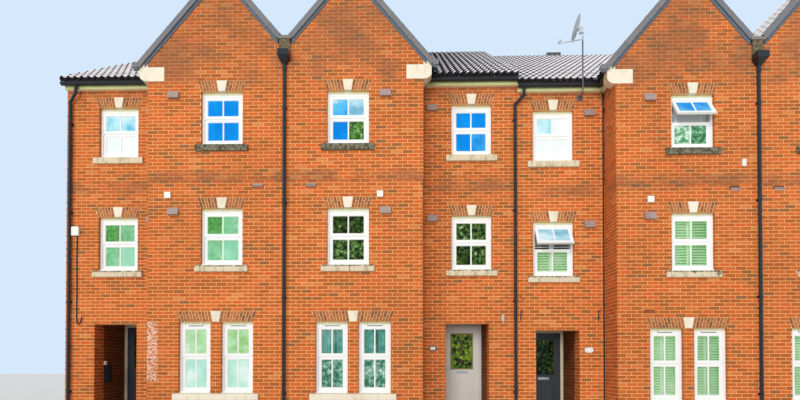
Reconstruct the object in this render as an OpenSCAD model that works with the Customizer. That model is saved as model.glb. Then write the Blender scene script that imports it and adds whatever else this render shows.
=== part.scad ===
// Row of four three-storey brick terraced houses in mirrored pairs.
// +Z up, front faces -Y, origin on the ground at the middle of the main body's footprint.

/* [Plan] */
// Width of one house between party lines
house_w = 4920; // [4700:10:5200]
// Width of a gabled bay, from its valley line to its outer corner
gable_bay_w = 2905; // [2860:5:2950]
// Depth of the main body, front wall face to rear wall face
body_depth = 10800; // [9600:75:12000]
// How far the gabled bays stand in front of the entrance bays
bay_projection = 675; // [600:15:750]
// Thickness of the outside walls
wall_t = 300; // [260:10:330]
// Thickness of the walls between houses
party_t = 250; // [215:5:280]
// How far each end wall's face stands beyond its party line
end_margin = 160; // [120:10:200]

/* [Heights] */
// How much higher the left pair of houses stands than the right pair
house_step = 150; // [125:5:200]
// Ground floor above the lowest ground
floor_0 = 300; // [240:10:340]
// First floor above the lowest ground
floor_1 = 2700; // [2600:10:2750]
// Second floor above the lowest ground
floor_2 = 5250; // [5150:10:5290]
// Thickness of the upper floors
floor_t = 300; // [220:10:330]
// Underside of the top ceilings above the lowest ground
ceiling_z = 7600; // [7500:10:7640]
// Thickness of the top ceilings
ceiling_t = 100; // [60:10:120]
// Heads of the ground floor windows and porches
head_0 = 2325; // [2275:5:2350]
// Heads of the first floor windows
head_1 = 4725; // [4650:5:4750]
// Heads of the second floor windows
head_2 = 7200; // [7150:5:7225]
// Where the upper wall of the gabled bays starts to oversail
string_z = 5325; // [5275:5:5400]
// How far that upper wall oversails
oversail = 15; // [8:1:25]
// Courses by which the oversail starts higher on the bay's side wall
string_rise = 225; // [150:75:300]

/* [Windows] */
// Height of a brick course, which arches and sills keep
course = 75; // [70:1:80]
// Width of the upper windows
window_w = 890; // [850:5:930]
// Height of the second floor windows
window_h2 = 1125; // [1050:25:1150]
// Height of the first floor windows
window_h1 = 1200; // [1100:25:1250]
// Height of the ground floor windows
window_h0 = 1500; // [1400:25:1550]
// Width of each ground floor window of a pair
pair_w = 680; // [640:10:720]
// Width of the brick pier between a pair
pair_pier = 220; // [200:5:240]
// Upper windows of the gabled bay, from the valley line
bay_window_u = 1335; // [1280:5:1400]
// Middle of the ground floor pair, from the valley line
pair_u = 1447; // [1420:5:1470]
// Distance of a window frame behind the wall's face
window_setback = 75; // [60:5:100]
// Depth of a window frame
frame_d = 70; // [60:5:80]
// Width of a window frame's members
frame_w = 50; // [40:5:60]
// Width of a sash's stiles and rails
sash_w = 55; // [45:1:65]
// Depth of a sash
sash_d = 50; // [40:5:55]
// Depth of the cover strip under a window's head
head_strip = 45; // [30:5:50]
// Thickness of the sealed double panes
glass_t = 24; // [16:1:28]
// Share of a window's glass height in its upper sash
upper_share = 0.465; // [0.4:0.005:0.55]
// Angle at which the two open sashes stand
open_angle = 35; // [10:1:40]

/* [Porches] */
// Width of a porch opening
porch_w = 955; // [930:5:980]
// Distance of a door frame behind the front wall's face
porch_depth = 1300; // [1200:10:1400]
// Thickness of a porch's side walls
porch_wall_t = 100; // [80:5:120]
// Step down from the ground floor to the porch floor
porch_drop = 150; // [120:10:170]
// Width of a door frame's members
jamb_w = 60; // [50:5:70]
// Middle of each porch, one for each house, from the party line
porch_in = [975, 1020, 965, 975];
// Upper windows over each porch, one for each house, from the party line
entrance_window_in = [1015, 920, 880, 1015];
// Height of a door's threshold
threshold_h = 35; // [25:5:45]
// Thickness of a door leaf
leaf_t = 44; // [40:1:50]
// Gap round a door leaf
leaf_gap = 6; // [5:0.5:8]
// How far the door stops overlap a leaf's edge
stop_lap = 10; // [8:1:14]
// Radius of a door hinge's knuckles
hinge_r = 8; // [7:0.5:10]
// Height of a door hinge
hinge_h = 100; // [90:5:110]
// Play between a hinge's knuckles
hinge_play = 0.3; // [0.2:0.1:0.5]

/* [Roof] */
// Pitch of the main roof
main_pitch = 33; // [31:0.5:35]
// Pitch of the gabled bays
gable_pitch = 49.5; // [48:0.5:51]
// Top of the tiles at the main eaves
eave_z = 7760; // [7750:5:7790]
// How far the tiles overhang the main front and rear walls
eave_over = 200; // [180:5:220]
// How far the tiles overhang a gabled bay's side wall
side_over = 232; // [220:4:240]
// Apex of a gable, from the valley line
apex_u = 1372; // [1350:4:1390]
// Top of the gable tiles at their side eaves
gable_eave_z = 7780; // [7760:5:7800]
// Thickness of the roof, rafters included
roof_t = 120; // [110:5:140]
// Thickness of the tiles alone, where they overhang
tile_t = 50; // [40:5:55]
// How far the left pair's roof runs past the middle party line
step_x = 85; // [60:5:110]
// How far the tiles overhang the end walls
verge_over = 40; // [30:5:60]
// Radius of the half-round ridge tiles
ridge_r = 110; // [95:5:125]
// Thickness of the ridge tiles
ridge_tile_t = 18; // [14:1:22]
// Half the width of the angled ridge tiles on the gables
gable_ridge_w = 95; // [80:5:110]
// How far a gable's verge tiles stand in front of the wall
verge_out = 45; // [35:5:60]
// Height of a verge tile's face, square to the slope
verge_h = 85; // [75:5:95]
// Height of the strip below the verge tiles, square to the slope
under_verge_h = 62; // [50:2:70]

/* [Stone] */
// Splay of a flat arch at each end
arch_splay = 75; // [60:5:90]
// Depth of the flat arches into the wall
arch_d = 103; // [95:1:110]
// How far the flat arches stand proud
arch_proud = 4; // [2:1:8]
// Width of a keystone at its top
key_top = 222; // [200:2:250]
// Width of a keystone at its foot
key_foot = 143; // [120:1:160]
// How far the keystones stand proud
key_proud = 20; // [12:1:30]
// How far the sills stand proud
sill_proud = 50; // [40:5:70]
// How far the sills run past an opening at each side
sill_horn = 117; // [100:1:130]
// Width of a kneeler inside the bay's corner
kneeler_in = 340; // [300:5:360]
// How far a kneeler reaches past the bay's corner
kneeler_out = 190; // [170:5:210]
// Depth of a kneeler
kneeler_d = 215; // [180:5:240]

/* [Rainwater] */
// Outside radius of the gutters
gutter_r = 58; // [50:1:60]
// Thickness of the gutters
gutter_t = 5; // [4:0.5:8]
// How far the fascia boards stand in front of the wall
fascia_out = 100; // [90:5:105]
// Thickness of the eaves boards
board_t = 20; // [15:1:22]
// Radius of the rainwater pipes
pipe_r = 34; // [30:1:38]
// Distance of a pipe's middle from the wall
pipe_off = 60; // [55:1:70]
// Radius of the pipes' sockets and elbows
socket_r = 40; // [38:1:44]
// How far a swan neck leans from the vertical
neck_angle = 50; // [40:1:60]
// Width of a hopper head
hopper_w = 236; // [200:4:260]
// Depth of a hopper head
hopper_d = 210; // [180:5:230]
// Height of a hopper head above its funnel
hopper_h = 129; // [110:1:150]
// Middle of the end pipes, from the end wall's face
end_pipe_in = 102; // [90:1:140]
// Middle of the middle pipes, from the middle party line
mid_pipe_x = 35; // [0:5:60]
// How far a swan neck's outlet stands sideways of its pipe
neck_out = 180; // [150:10:220]

/* [Services] */
// Distance of the satellite mast from the third house's gabled bay
mast_from_bay = 551; // [400:1:600]
// Height of the satellite mast's head above the soffit
mast_rise = 1020; // [800:10:1100]
// Middle of the third house's ridge vent, past the corner line of its gabled bay
vent_past_bay = 282; // [200:1:400]
// Length of the ridge vent
ridge_vent_l = 440; // [400:10:500]
// Height of the ridge vent above the ridge line
ridge_vent_h = 120; // [90:5:150]

/* [Hidden] */
$fn = 48;
HOUSES = [0, 1, 2, 3];
SIDE = [-1, 1, -1, 1];
VALLEY_X = [-house_w, -house_w, house_w, house_w];
LIFT = [house_step, house_step, 0, 0];
main_y = -body_depth / 2;
bay_y = main_y - bay_projection;
upper_y = bay_y - oversail;
row_end_x = 2 * house_w + end_margin;
bay_outer = gable_bay_w + oversail;
party_face = house_w - party_t / 2;
arch_h = 3 * course;
sill_h = 2 * course;
kneeler_h = 4 * course;
kneeler_z = head_2 + arch_h;
soffit_z = head_2 + 5 * course;
main_t = roof_t / cos(main_pitch);
gable_t = roof_t / cos(gable_pitch);
main_eave_y = main_y - eave_over;
side_eave_u = gable_bay_w + side_over;
ridge_z = eave_z - main_eave_y * tan(main_pitch);
apex_z = gable_eave_z + (side_eave_u - apex_u) * tan(gable_pitch);
valley_z = apex_z - apex_u * tan(gable_pitch);
rim_z = valley_z + 111;
pair_total = 2 * pair_w + pair_pier;
porch_u = [for (d = porch_in) house_w - d];
entrance_window_u = [for (d = entrance_window_in) house_w - d];
// Clearance between roof pieces bedded on each other
bed = 0.2;
// Where the boxed side eaves of a gabled bay end and only its tiles run on
boxed_u = gable_bay_w + fascia_out - board_t;
seam_u = [party_face, house_w + step_x, house_w - step_x, party_face];
far = 20000;
// How far a cut runs past the face that it opens
past = 50;

// Height of the main roof's top surface at y
function main_top(y) = eave_z + (abs(main_eave_y) - abs(y)) * tan(main_pitch);
// Height of a gable's top surface at u
function gable_top(u) = apex_z - abs(u - apex_u) * tan(gable_pitch);
function is_end(i) = i == 0 || i == 3;

// Children placed in one house's own frame: u from its valley line to its porch, z from its own datum
module house(i) {
    translate([VALLEY_X[i], 0, LIFT[i]])
        mirror([SIDE[i] < 0 ? 1 : 0, 0, 0])
            children();
}

module box(x0, x1, y0, y1, z0, z1) {
    translate([x0, y0, z0]) cube([x1 - x0, y1 - y0, z1 - z0]);
}

// Profile in (u, z), run from y0 to y1
module along_y(points, y0, y1) {
    translate([0, y1, 0]) rotate([90, 0, 0]) linear_extrude(y1 - y0) polygon(points);
}

// Profile in (y, z), run from x0 to x1
module along_x(points, x0, x1) {
    translate([x0, 0, 0]) rotate([90, 0, 90]) linear_extrude(x1 - x0) polygon(points);
}

module to_rear() {
    mirror([0, 1, 0]) children();
}

// Openings as [middle, width, head, height, wall face]
function bay_upper_windows() = [[bay_window_u, window_w, head_2, window_h2, upper_y]];
function bay_first_windows() = [[bay_window_u, window_w, head_1, window_h1, bay_y]];
function bay_pair() = [for (s = [-1, 1])
    [pair_u + s * (pair_w + pair_pier) / 2, pair_w, head_0, window_h0, bay_y]];
function entrance_windows(i) = [
    [entrance_window_u[i], window_w, head_2, window_h2, main_y],
    [entrance_window_u[i], window_w, head_1, window_h1, main_y]];
function rear_windows(i) = concat(entrance_windows(i), [
    [bay_window_u, window_w, head_2, window_h2, main_y],
    [bay_window_u, window_w, head_1, window_h1, main_y],
    [pair_u - (pair_w + pair_pier) / 2, pair_w, head_0, window_h0, main_y],
    [pair_u + (pair_w + pair_pier) / 2, pair_w, head_0, window_h0, main_y]]);
function front_windows(i) =
    concat(bay_upper_windows(), bay_first_windows(), bay_pair(), entrance_windows(i));

// Spans that one arch and one sill cover, as [middle, width, head, height, wall face]
function front_spans(i) = concat(bay_upper_windows(), bay_first_windows(), entrance_windows(i),
    [[pair_u, pair_total, head_0, window_h0, bay_y]]);
function rear_spans(i) = concat(entrance_windows(i), [
    [bay_window_u, window_w, head_2, window_h2, main_y],
    [bay_window_u, window_w, head_1, window_h1, main_y],
    [pair_u, pair_total, head_0, window_h0, main_y]]);

module opening_cut(o) {
    box(o[0] - o[1] / 2, o[0] + o[1] / 2, o[4] - past, o[4] + wall_t + past, o[2] - o[3], o[2]);
}

function arch_profile(o) = [
    [o[0] - o[1] / 2, o[2]], [o[0] + o[1] / 2, o[2]],
    [o[0] + o[1] / 2 + arch_splay, o[2] + arch_h], [o[0] - o[1] / 2 - arch_splay, o[2] + arch_h]];

module arch_solid(o, front, back) {
    along_y(arch_profile(o), o[4] - front, o[4] + back);
}

function sill_back() = window_setback + frame_d;

module sill_solid(o) {
    top = o[2] - o[3];
    fall = 15;
    drip = 12;
    translate([o[0], o[4], 0])
        along_x([[sill_back(), top - sill_h], [sill_back(), top], [window_setback - 10, top],
                [-sill_proud, top - fall], [-sill_proud, top - sill_h + drip],
                [-sill_proud + drip, top - sill_h]],
                -o[1] / 2 - sill_horn, o[1] / 2 + sill_horn);
}

module sill_cut(o) {
    half = o[1] / 2 + sill_horn;
    box(o[0] - half, o[0] + half, o[4] - past, o[4] + sill_back(), o[2] - o[3] - sill_h, o[2] - o[3] + 0.01);
}

module span_cuts(spans) {
    for (o = spans) {
        arch_solid(o, past, arch_d);
        sill_cut(o);
    }
}

/* Structure */

module ground_floor(i) {
    p = porch_u[i];
    half = porch_w / 2;
    outer = half + porch_wall_t;
    frame_y = main_y + porch_depth;
    rear_y = -main_y - wall_t;
    inner_y = main_y + wall_t;
    translate([0, 0, -LIFT[i]])
        linear_extrude(floor_0 + LIFT[i])
            polygon([[party_t / 2, bay_y + wall_t], [gable_bay_w - wall_t, bay_y + wall_t],
                [gable_bay_w - wall_t, inner_y], [p - outer, inner_y],
                [p - outer, frame_y + frame_d], [p - half, frame_y + frame_d], [p - half, frame_y],
                [p + half, frame_y], [p + half, frame_y + frame_d], [p + outer, frame_y + frame_d],
                [p + outer, inner_y], [party_face, inner_y], [party_face, rear_y], [party_t / 2, rear_y]]);
}

module ground_floors() {
    color("gray")
        for (i = HOUSES) house(i) ground_floor(i);
}

module porch_floors() {
    color("darkgray")
        for (i = HOUSES) house(i)
            box(porch_u[i] - porch_w / 2, porch_u[i] + porch_w / 2, main_y, main_y + porch_depth,
                -LIFT[i], floor_0 - porch_drop);
}

module floor_slab(z0, z1) {
    inner_y = main_y + wall_t;
    rear_y = -main_y - wall_t;
    translate([0, 0, z0])
        linear_extrude(z1 - z0)
            polygon([[party_t / 2, bay_y + wall_t], [gable_bay_w - wall_t, bay_y + wall_t],
                [gable_bay_w - wall_t, inner_y], [party_face, inner_y],
                [party_face, rear_y], [party_t / 2, rear_y]]);
}

module upper_floors_and_ceilings() {
    color("burlywood")
        for (i = HOUSES) house(i) {
            floor_slab(floor_1 - floor_t, floor_1);
            floor_slab(floor_2 - floor_t, floor_2);
            floor_slab(ceiling_z, ceiling_z + ceiling_t);
        }
}

// Cross-wall profile in (y, z) up to the underside of a main roof raised by lift
function cross_wall(y0, lift, base) = [
    [y0, base], [-y0, base],
    [-y0, main_top(y0) - main_t + lift], [0, ridge_z - main_t + lift],
    [y0, main_top(y0) - main_t + lift]];

module party_walls() {
    inner_y = main_y + wall_t;
    valley_under = valley_z - gable_t;
    meet_y = -(ridge_z - main_t - valley_under) / tan(main_pitch);
    color("rosybrown") {
        for (i = [0, 2])
            translate([VALLEY_X[i], 0, LIFT[i]])
                along_x([[bay_y + wall_t, -LIFT[i]], [-inner_y, -LIFT[i]],
                        [-inner_y, main_top(inner_y) - main_t], [0, ridge_z - main_t],
                        [meet_y, valley_under], [bay_y + wall_t, valley_under]],
                        -party_t / 2, party_t / 2);
        along_x(cross_wall(inner_y, house_step, 0), -party_t / 2, step_x);
        along_x(cross_wall(inner_y, 0, 0), step_x, party_t / 2);
    }
}

module end_walls() {
    color("orangered")
        for (i = [0, 3]) house(i)
            along_x([[main_y, -LIFT[i]], [-main_y, -LIFT[i]],
                    [-main_y, main_top(main_y) - main_t], [0, ridge_z - main_t],
                    [main_y, main_top(main_y) - main_t]],
                    party_face, house_w + end_margin);
}

module gable_bay_lower_walls() {
    color("orangered")
        for (i = HOUSES) house(i)
            difference() {
                box(0, gable_bay_w, bay_y, bay_y + wall_t, -LIFT[i], string_z);
                for (o = concat(bay_first_windows(), bay_pair())) opening_cut(o);
                span_cuts([bay_first_windows()[0], [pair_u, pair_total, head_0, window_h0, bay_y]]);
            }
}

module gable_bay_upper_walls() {
    color("orangered")
        for (i = HOUSES) house(i)
            difference() {
                box(0, bay_outer, upper_y, bay_y + wall_t, string_z, kneeler_z);
                box(gable_bay_w, bay_outer + 1, bay_y, bay_y + wall_t + 1,
                    string_z - 1, string_z + string_rise);
                for (o = bay_upper_windows()) opening_cut(o);
                span_cuts(bay_upper_windows());
            }
}

module gable_peaks() {
    color("orangered")
        for (i = HOUSES) house(i)
            difference() {
                along_y([[0, kneeler_z], [bay_outer, kneeler_z], [bay_outer, gable_top(bay_outer) - gable_t],
                        [apex_u, apex_z - gable_t], [0, valley_z - gable_t]],
                        upper_y, bay_y + wall_t);
                box(gable_bay_w - kneeler_in, bay_outer + 1, upper_y - 1, upper_y + kneeler_d,
                    kneeler_z - 1, kneeler_z + kneeler_h);
            }
}

module gable_bay_side_walls() {
    y0 = bay_y + wall_t;
    y1 = main_y + wall_t;
    inner = gable_bay_w - wall_t;
    color("orangered")
        for (i = HOUSES) house(i)
            difference() {
                along_y([[inner, -LIFT[i]], [bay_outer, -LIFT[i]],
                        [bay_outer, gable_top(bay_outer) - gable_t], [inner, gable_top(inner) - gable_t]],
                        y0, y1);
                box(gable_bay_w, bay_outer + 1, y0 - 1, y1 + 1, -LIFT[i] - 1, string_z + string_rise);
                box(gable_bay_w, bay_outer + 1, main_y, y1 + 1, -LIFT[i] - 1, far);
            }
}

module entrance_piers() {
    color("orangered")
        for (i = HOUSES) house(i) {
            box(gable_bay_w, porch_u[i] - porch_w / 2, main_y, main_y + wall_t, -LIFT[i], head_0);
            box(porch_u[i] + porch_w / 2, seam_u[i], main_y, main_y + wall_t, -LIFT[i], head_0);
        }
}

module entrance_upper_walls() {
    y1 = main_y + wall_t;
    color("orangered")
        for (i = HOUSES) house(i)
            difference() {
                along_x([[main_y, head_0], [y1, head_0], [y1, main_top(y1) - main_t],
                        [main_y, main_top(main_y) - main_t]],
                        gable_bay_w, seam_u[i]);
                for (o = entrance_windows(i)) opening_cut(o);
                span_cuts(entrance_windows(i));
            }
}

module porch_side_walls() {
    y0 = main_y + wall_t;
    y1 = main_y + porch_depth + frame_d;
    color("orangered")
        for (i = HOUSES) house(i)
            for (s = [-1, 1])
                translate([porch_u[i] + s * (porch_w + porch_wall_t) / 2, 0, 0])
                    box(-porch_wall_t / 2, porch_wall_t / 2, y0, y1, -LIFT[i], floor_1 - floor_t);
}

// Middle of each rear door, from the party line
rear_door_in = 1070;
rear_door = [house_w - rear_door_in, porch_w, head_0, head_0 - floor_0, main_y];

module rear_walls() {
    y1 = main_y + wall_t;
    color("orangered")
        for (i = HOUSES) house(i)
            to_rear()
                difference() {
                    along_x([[main_y, -LIFT[i]], [y1, -LIFT[i]], [y1, main_top(y1) - main_t],
                            [main_y, main_top(main_y) - main_t]],
                            0, seam_u[i]);
                    for (o = concat(rear_windows(i), [rear_door])) opening_cut(o);
                    span_cuts(rear_spans(i));
                    arch_solid(rear_door, past, arch_d);
                }
}

/* Stone and arches */

function key_profile(o) = [
    [o[0] - key_foot / 2, o[2]], [o[0] + key_foot / 2, o[2]],
    [o[0] + key_top / 2, o[2] + arch_h], [o[0] - key_top / 2, o[2] + arch_h]];

module keystone(o, proud) {
    along_y(key_profile(o), o[4] - proud, o[4] + arch_d);
}

module flat_arches() {
    color("sienna")
        for (i = HOUSES) house(i) {
            for (o = front_spans(i))
                difference() {
                    arch_solid(o, arch_proud, arch_d);
                    keystone(o, 2 * key_proud);
                }
            to_rear()
                for (o = concat(rear_spans(i), [rear_door])) arch_solid(o, arch_proud, arch_d);
        }
}

module keystones() {
    color("cornsilk")
        for (i = HOUSES) house(i)
            for (o = front_spans(i))
                keystone(o, key_proud);
}

module stone_sills() {
    color("cornsilk")
        for (i = HOUSES) house(i) {
            for (o = front_spans(i)) sill_solid(o);
            to_rear() for (o = rear_spans(i)) sill_solid(o);
        }
}

// Kneeler outline in (u, z): a block whose outer lower corner is swept up in a quarter curve
function kneeler_profile() = let(
        u0 = gable_bay_w - kneeler_in, u1 = gable_bay_w + kneeler_out,
        top = kneeler_z + kneeler_h, sweep = 1.5 * course)
    concat([[u0, kneeler_z], [bay_outer, kneeler_z]],
        [for (a = [10:10:90])
            [bay_outer + (u1 - bay_outer) * sin(a), kneeler_z + sweep * (1 - cos(a))]],
        [[u1, cap_under(u1)], [under_cap_u, top], [u0, top]]);

// Filling over a kneeler's outer end, up to the undersides of the roof and its overhanging tiles
function kneeler_seat() = let(
        u1 = gable_bay_w + kneeler_out, low = kneeler_z + kneeler_h - 1,
        under = tile_t / cos(gable_pitch) + bed, deep = gable_t + bed)
    [[bay_outer, low], [under_cap_u - bed, low], [u1, cap_under(u1) - bed], [u1, gable_top(u1) - under],
     [boxed_u, gable_top(boxed_u) - under], [boxed_u, gable_top(boxed_u) - deep],
     [bay_outer, gable_top(bay_outer) - deep]];

// Underside of the verge cap at u, and where it comes down to a kneeler's top
function cap_under(u) = gable_top(u) - verge_h / cos(gable_pitch) - bed;
under_cap_u = apex_u + (apex_z - verge_h / cos(gable_pitch) - bed - kneeler_z - kneeler_h) / tan(gable_pitch);

module kneelers() {
    color("cornsilk")
        for (i = HOUSES) house(i) {
            along_y(kneeler_profile(), upper_y - 10, upper_y + kneeler_d);
            along_y(kneeler_seat(), upper_y, upper_y + kneeler_d);
        }
}

/* Windows */

// A square frame in (u, z) run along y
module along_y_ring(u0, u1, z0, z1, member, y0, y1) {
    difference() {
        box(u0, u1, y0, y1, z0, z1);
        box(u0 + member, u1 - member, y0 - 1, y1 + 1, z0 + member, z1 - member);
    }
}

function glass_total(o) = o[3] - head_strip - 2 * frame_w - 4 * sash_w;
function upper_sash_h(o) = 2 * sash_w + upper_share * glass_total(o);
function lower_sash_h(o) = 2 * sash_w + (1 - upper_share) * glass_total(o);

module window_frame(o) {
    y0 = o[4] + window_setback;
    half = o[1] / 2;
    sub_sill = 25;
    difference() {
        box(o[0] - half, o[0] + half, y0, y0 + frame_d, o[2] - o[3], o[2]);
        box(o[0] - half + frame_w, o[0] + half - frame_w, y0 - 1, y0 + frame_d + 1,
            o[2] - o[3] + frame_w, o[2] - frame_w - head_strip);
    }
    box(o[0] - half, o[0] + half, y0 - 35, y0, o[2] - o[3], o[2] - o[3] + sub_sill);
}

module window_frames() {
    color("white")
        for (i = HOUSES) house(i) {
            for (o = front_windows(i)) window_frame(o);
            to_rear() for (o = rear_windows(i)) window_frame(o);
        }
}

// Upper sash, hung at its head and turned out by angle
module upper_sash(o, angle) {
    y0 = o[4] + window_setback + 5;
    top = o[2] - frame_w - head_strip;
    h = upper_sash_h(o);
    translate([o[0], y0, top])
        rotate([-angle, 0, 0])
            along_y_ring(-o[1] / 2 + frame_w, o[1] / 2 - frame_w, -h, 0, sash_w, 0, sash_d);
}

module lower_sash(o) {
    y0 = o[4] + window_setback + frame_d - sash_d;
    bottom = o[2] - o[3] + frame_w;
    along_y_ring(o[0] - o[1] / 2 + frame_w, o[0] + o[1] / 2 - frame_w, bottom, bottom + lower_sash_h(o),
        sash_w, y0, y0 + sash_d);
}

module upper_pane(o, angle) {
    y0 = o[4] + window_setback + 5;
    top = o[2] - frame_w - head_strip;
    h = upper_sash_h(o);
    half = o[1] / 2 - frame_w - sash_w;
    translate([o[0], y0, top])
        rotate([-angle, 0, 0])
            box(-half, half, (sash_d - glass_t) / 2, (sash_d + glass_t) / 2, -h + sash_w, -sash_w);
}

module lower_pane(o) {
    y0 = o[4] + window_setback + frame_d - sash_d;
    bottom = o[2] - o[3] + frame_w;
    half = o[1] / 2 - frame_w - sash_w;
    box(o[0] - half, o[0] + half, y0 + (sash_d - glass_t) / 2, y0 + (sash_d + glass_t) / 2,
        bottom + sash_w, bottom + lower_sash_h(o) - sash_w);
}

// The third house's entrance bay first floor and the third house's gable second floor stand open
function sash_angle(i, o) =
    i == 2 && ((o[0] == bay_window_u && o[2] == head_2) || (o[0] == entrance_window_u[2] && o[2] == head_1))
    ? open_angle : 0;

module window_sashes() {
    color("whitesmoke")
        for (i = HOUSES) house(i) {
            for (o = front_windows(i)) {
                upper_sash(o, sash_angle(i, o));
                lower_sash(o);
            }
            to_rear()
                for (o = rear_windows(i)) {
                    upper_sash(o, 0);
                    lower_sash(o);
                }
        }
}

module window_glass() {
    color("lightblue", 0.5)
        for (i = HOUSES) house(i) {
            for (o = front_windows(i)) {
                upper_pane(o, sash_angle(i, o));
                lower_pane(o);
            }
            to_rear()
                for (o = rear_windows(i)) {
                    upper_pane(o, 0);
                    lower_pane(o);
                }
        }
}

/* Doors */

door_head = floor_1 - floor_t;
door_y = main_y + porch_depth;
leaf_half = porch_w / 2 - jamb_w - leaf_gap;
leaf_z0 = floor_0 + threshold_h + leaf_gap;
leaf_z1 = door_head - jamb_w - leaf_gap;
leaf_y1 = door_y + frame_d;
leaf_y0 = leaf_y1 - leaf_t;
stop_y = leaf_y0 - leaf_gap;
// A leaf's light over two panels, and the hinges and handle on its edges
light_u = [-255, 255];
light_h = 840;
top_rail = 175;
lock_rail = 215;
foot_rail = 150;
light_top = leaf_z1 - top_rail;
light_bottom = light_top - light_h;
panel_top = light_bottom - lock_rail;
panel_u = 145;
panel_half = 105;
panel_edge = 25;
handle_z = leaf_z0 + 950;

module door_frame(i) {
    p = porch_u[i];
    half = porch_w / 2;
    difference() {
        box(p - half, p + half, door_y, door_y + frame_d, floor_0, door_head);
        box(p - half + jamb_w, p + half - jamb_w, stop_y, door_y + frame_d + 1,
            floor_0 + threshold_h, door_head - jamb_w);
        box(p - half + jamb_w + stop_lap, p + half - jamb_w - stop_lap, door_y - 1, door_y + frame_d + 1,
            floor_0 + threshold_h + stop_lap, door_head - jamb_w - stop_lap);
    }
}

module door_frames() {
    color("linen")
        for (i = HOUSES) house(i) door_frame(i);
}

module door_hinges() {
    color("silver")
        for (i = [0, 1, 2]) on_house_door(i) fixed_knuckles();
}

// Door leaf with a rectangular light over two raised panels
module door_leaf() {
    bevel = 9;
    difference() {
        box(-leaf_half, leaf_half, leaf_y0, leaf_y1, leaf_z0, leaf_z1);
        box(light_u[0], light_u[1], leaf_y0 - 1, leaf_y1 + 1, light_bottom, light_top);
        for (s = [-1, 1], side = [0, 1])
            translate([s * panel_u, side == 0 ? leaf_y0 : leaf_y1, 0])
                difference() {
                    box(-panel_half, panel_half, -bevel, bevel, leaf_z0 + foot_rail, panel_top);
                    box(-panel_half + panel_edge, panel_half - panel_edge, -bevel - 1, bevel + 1,
                        leaf_z0 + foot_rail + panel_edge, panel_top - panel_edge);
                }
    }
}

module door_pane() {
    middle = (leaf_y0 + leaf_y1) / 2;
    box(light_u[0], light_u[1], middle - glass_t / 2, middle + glass_t / 2, light_bottom, light_top);
}

// The axis on which a leaf turns, from the middle of its porch
hinge_u = leaf_half + leaf_gap / 2;
hinge_y = leaf_y1 + hinge_r;
hinge_from_end = 180;
hinge_z = [leaf_z0 + hinge_from_end, handle_z, leaf_z1 - hinge_from_end - hinge_h];

// One knuckle of a hinge with its flap, which reaches towards a jamb (side = 1) or a leaf (side = -1)
module knuckle(side, z0, z1) {
    flap = 3;
    flap_w = 38;
    translate([hinge_u, hinge_y, z0]) cylinder(h = z1 - z0, r = hinge_r);
    translate([hinge_u, hinge_y, 0])
        box(side > 0 ? 0 : -flap_w, side > 0 ? flap_w : 0, -hinge_r, flap - hinge_r, z0, z1);
}

module fixed_knuckles() {
    third = hinge_h / 3;
    for (z = hinge_z) {
        knuckle(1, z, z + third);
        knuckle(1, z + 2 * third, z + hinge_h);
    }
}

module moving_knuckles() {
    third = hinge_h / 3;
    for (z = hinge_z) knuckle(-1, z + third + hinge_play, z + 2 * third - hinge_play);
}

// Handle and letter plate on both faces, seated on the leaf
module door_furniture() {
    handle_u = -leaf_half + 45;
    spindle_r = 9;
    lever_l = 105;
    plate = [30, 8, 220];
    letter_plate = [270, 10, 60];
    for (side = [0, 1])
        translate([0, side == 0 ? leaf_y0 : leaf_y1, 0])
            mirror([0, side, 0]) {
                translate([handle_u - plate[0] / 2, -plate[1], handle_z - 120]) cube(plate);
                translate([handle_u, 0, handle_z]) rotate([90, 0, 0]) cylinder(h = 45, r = spindle_r);
                box(handle_u - spindle_r, handle_u + lever_l, -55, -40,
                    handle_z - spindle_r, handle_z + spindle_r);
                translate([-letter_plate[0] / 2, -letter_plate[1], light_bottom - 2 * letter_plate[2]])
                    cube(letter_plate);
            }
    moving_knuckles();
}

module on_house_door(i) {
    house(i) translate([porch_u[i], 0, 0]) children();
}

module house_1_door() { color("slategray") on_house_door(0) door_leaf(); }
module house_1_door_glass() { color("lightblue", 0.5) on_house_door(0) door_pane(); }
module house_1_door_furniture() { color("silver") on_house_door(0) door_furniture(); }
module house_2_door() { color("linen") on_house_door(1) door_leaf(); }
module house_2_door_glass() { color("lightblue", 0.5) on_house_door(1) door_pane(); }
module house_2_door_furniture() { color("silver") on_house_door(1) door_furniture(); }
module house_3_door() { color("dimgray") on_house_door(2) door_leaf(); }
module house_3_door_glass() { color("lightblue", 0.5) on_house_door(2) door_pane(); }
module house_3_door_furniture() { color("silver") on_house_door(2) door_furniture(); }

// The fourth house's front door and the plain rear doors, which stay shut
module fixed_doors() {
    sunk = 9;
    rear_panel_u = 165;
    rear_panel_half = 125;
    rear_panels = [[floor_0 + 180, floor_0 + 800], [floor_0 + 980, head_0 - 170]];
    color("linen") {
        on_house_door(3)
            difference() {
                box(-leaf_half - leaf_gap, leaf_half + leaf_gap, leaf_y0, leaf_y1,
                    floor_0 + threshold_h, door_head - jamb_w);
                for (s = [-1, 1])
                    translate([s * panel_u, leaf_y0, 0]) {
                        box(-panel_half, panel_half, -1, sunk, leaf_z0 + foot_rail, panel_top);
                        box(-panel_half, panel_half, -1, sunk, light_bottom, light_top);
                    }
            }
        for (i = HOUSES) house(i)
            to_rear()
                difference() {
                    box(rear_door[0] - porch_w / 2, rear_door[0] + porch_w / 2,
                        main_y + window_setback, main_y + window_setback + frame_d, floor_0, head_0);
                    for (s = [-1, 1], z = rear_panels)
                        translate([rear_door[0] + s * rear_panel_u, main_y + window_setback, 0])
                            box(-rear_panel_half, rear_panel_half, -1, sunk, z[0], z[1]);
                }
    }
}

/* Roof */

// Everything below the main roof's front slope lowered by drop
module under_main(drop) {
    y = 2 * bay_y;
    along_x([[y, 0], [0, 0], [0, ridge_z - drop], [y, ridge_z - drop + y * tan(main_pitch)]], -far, far);
}

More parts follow.
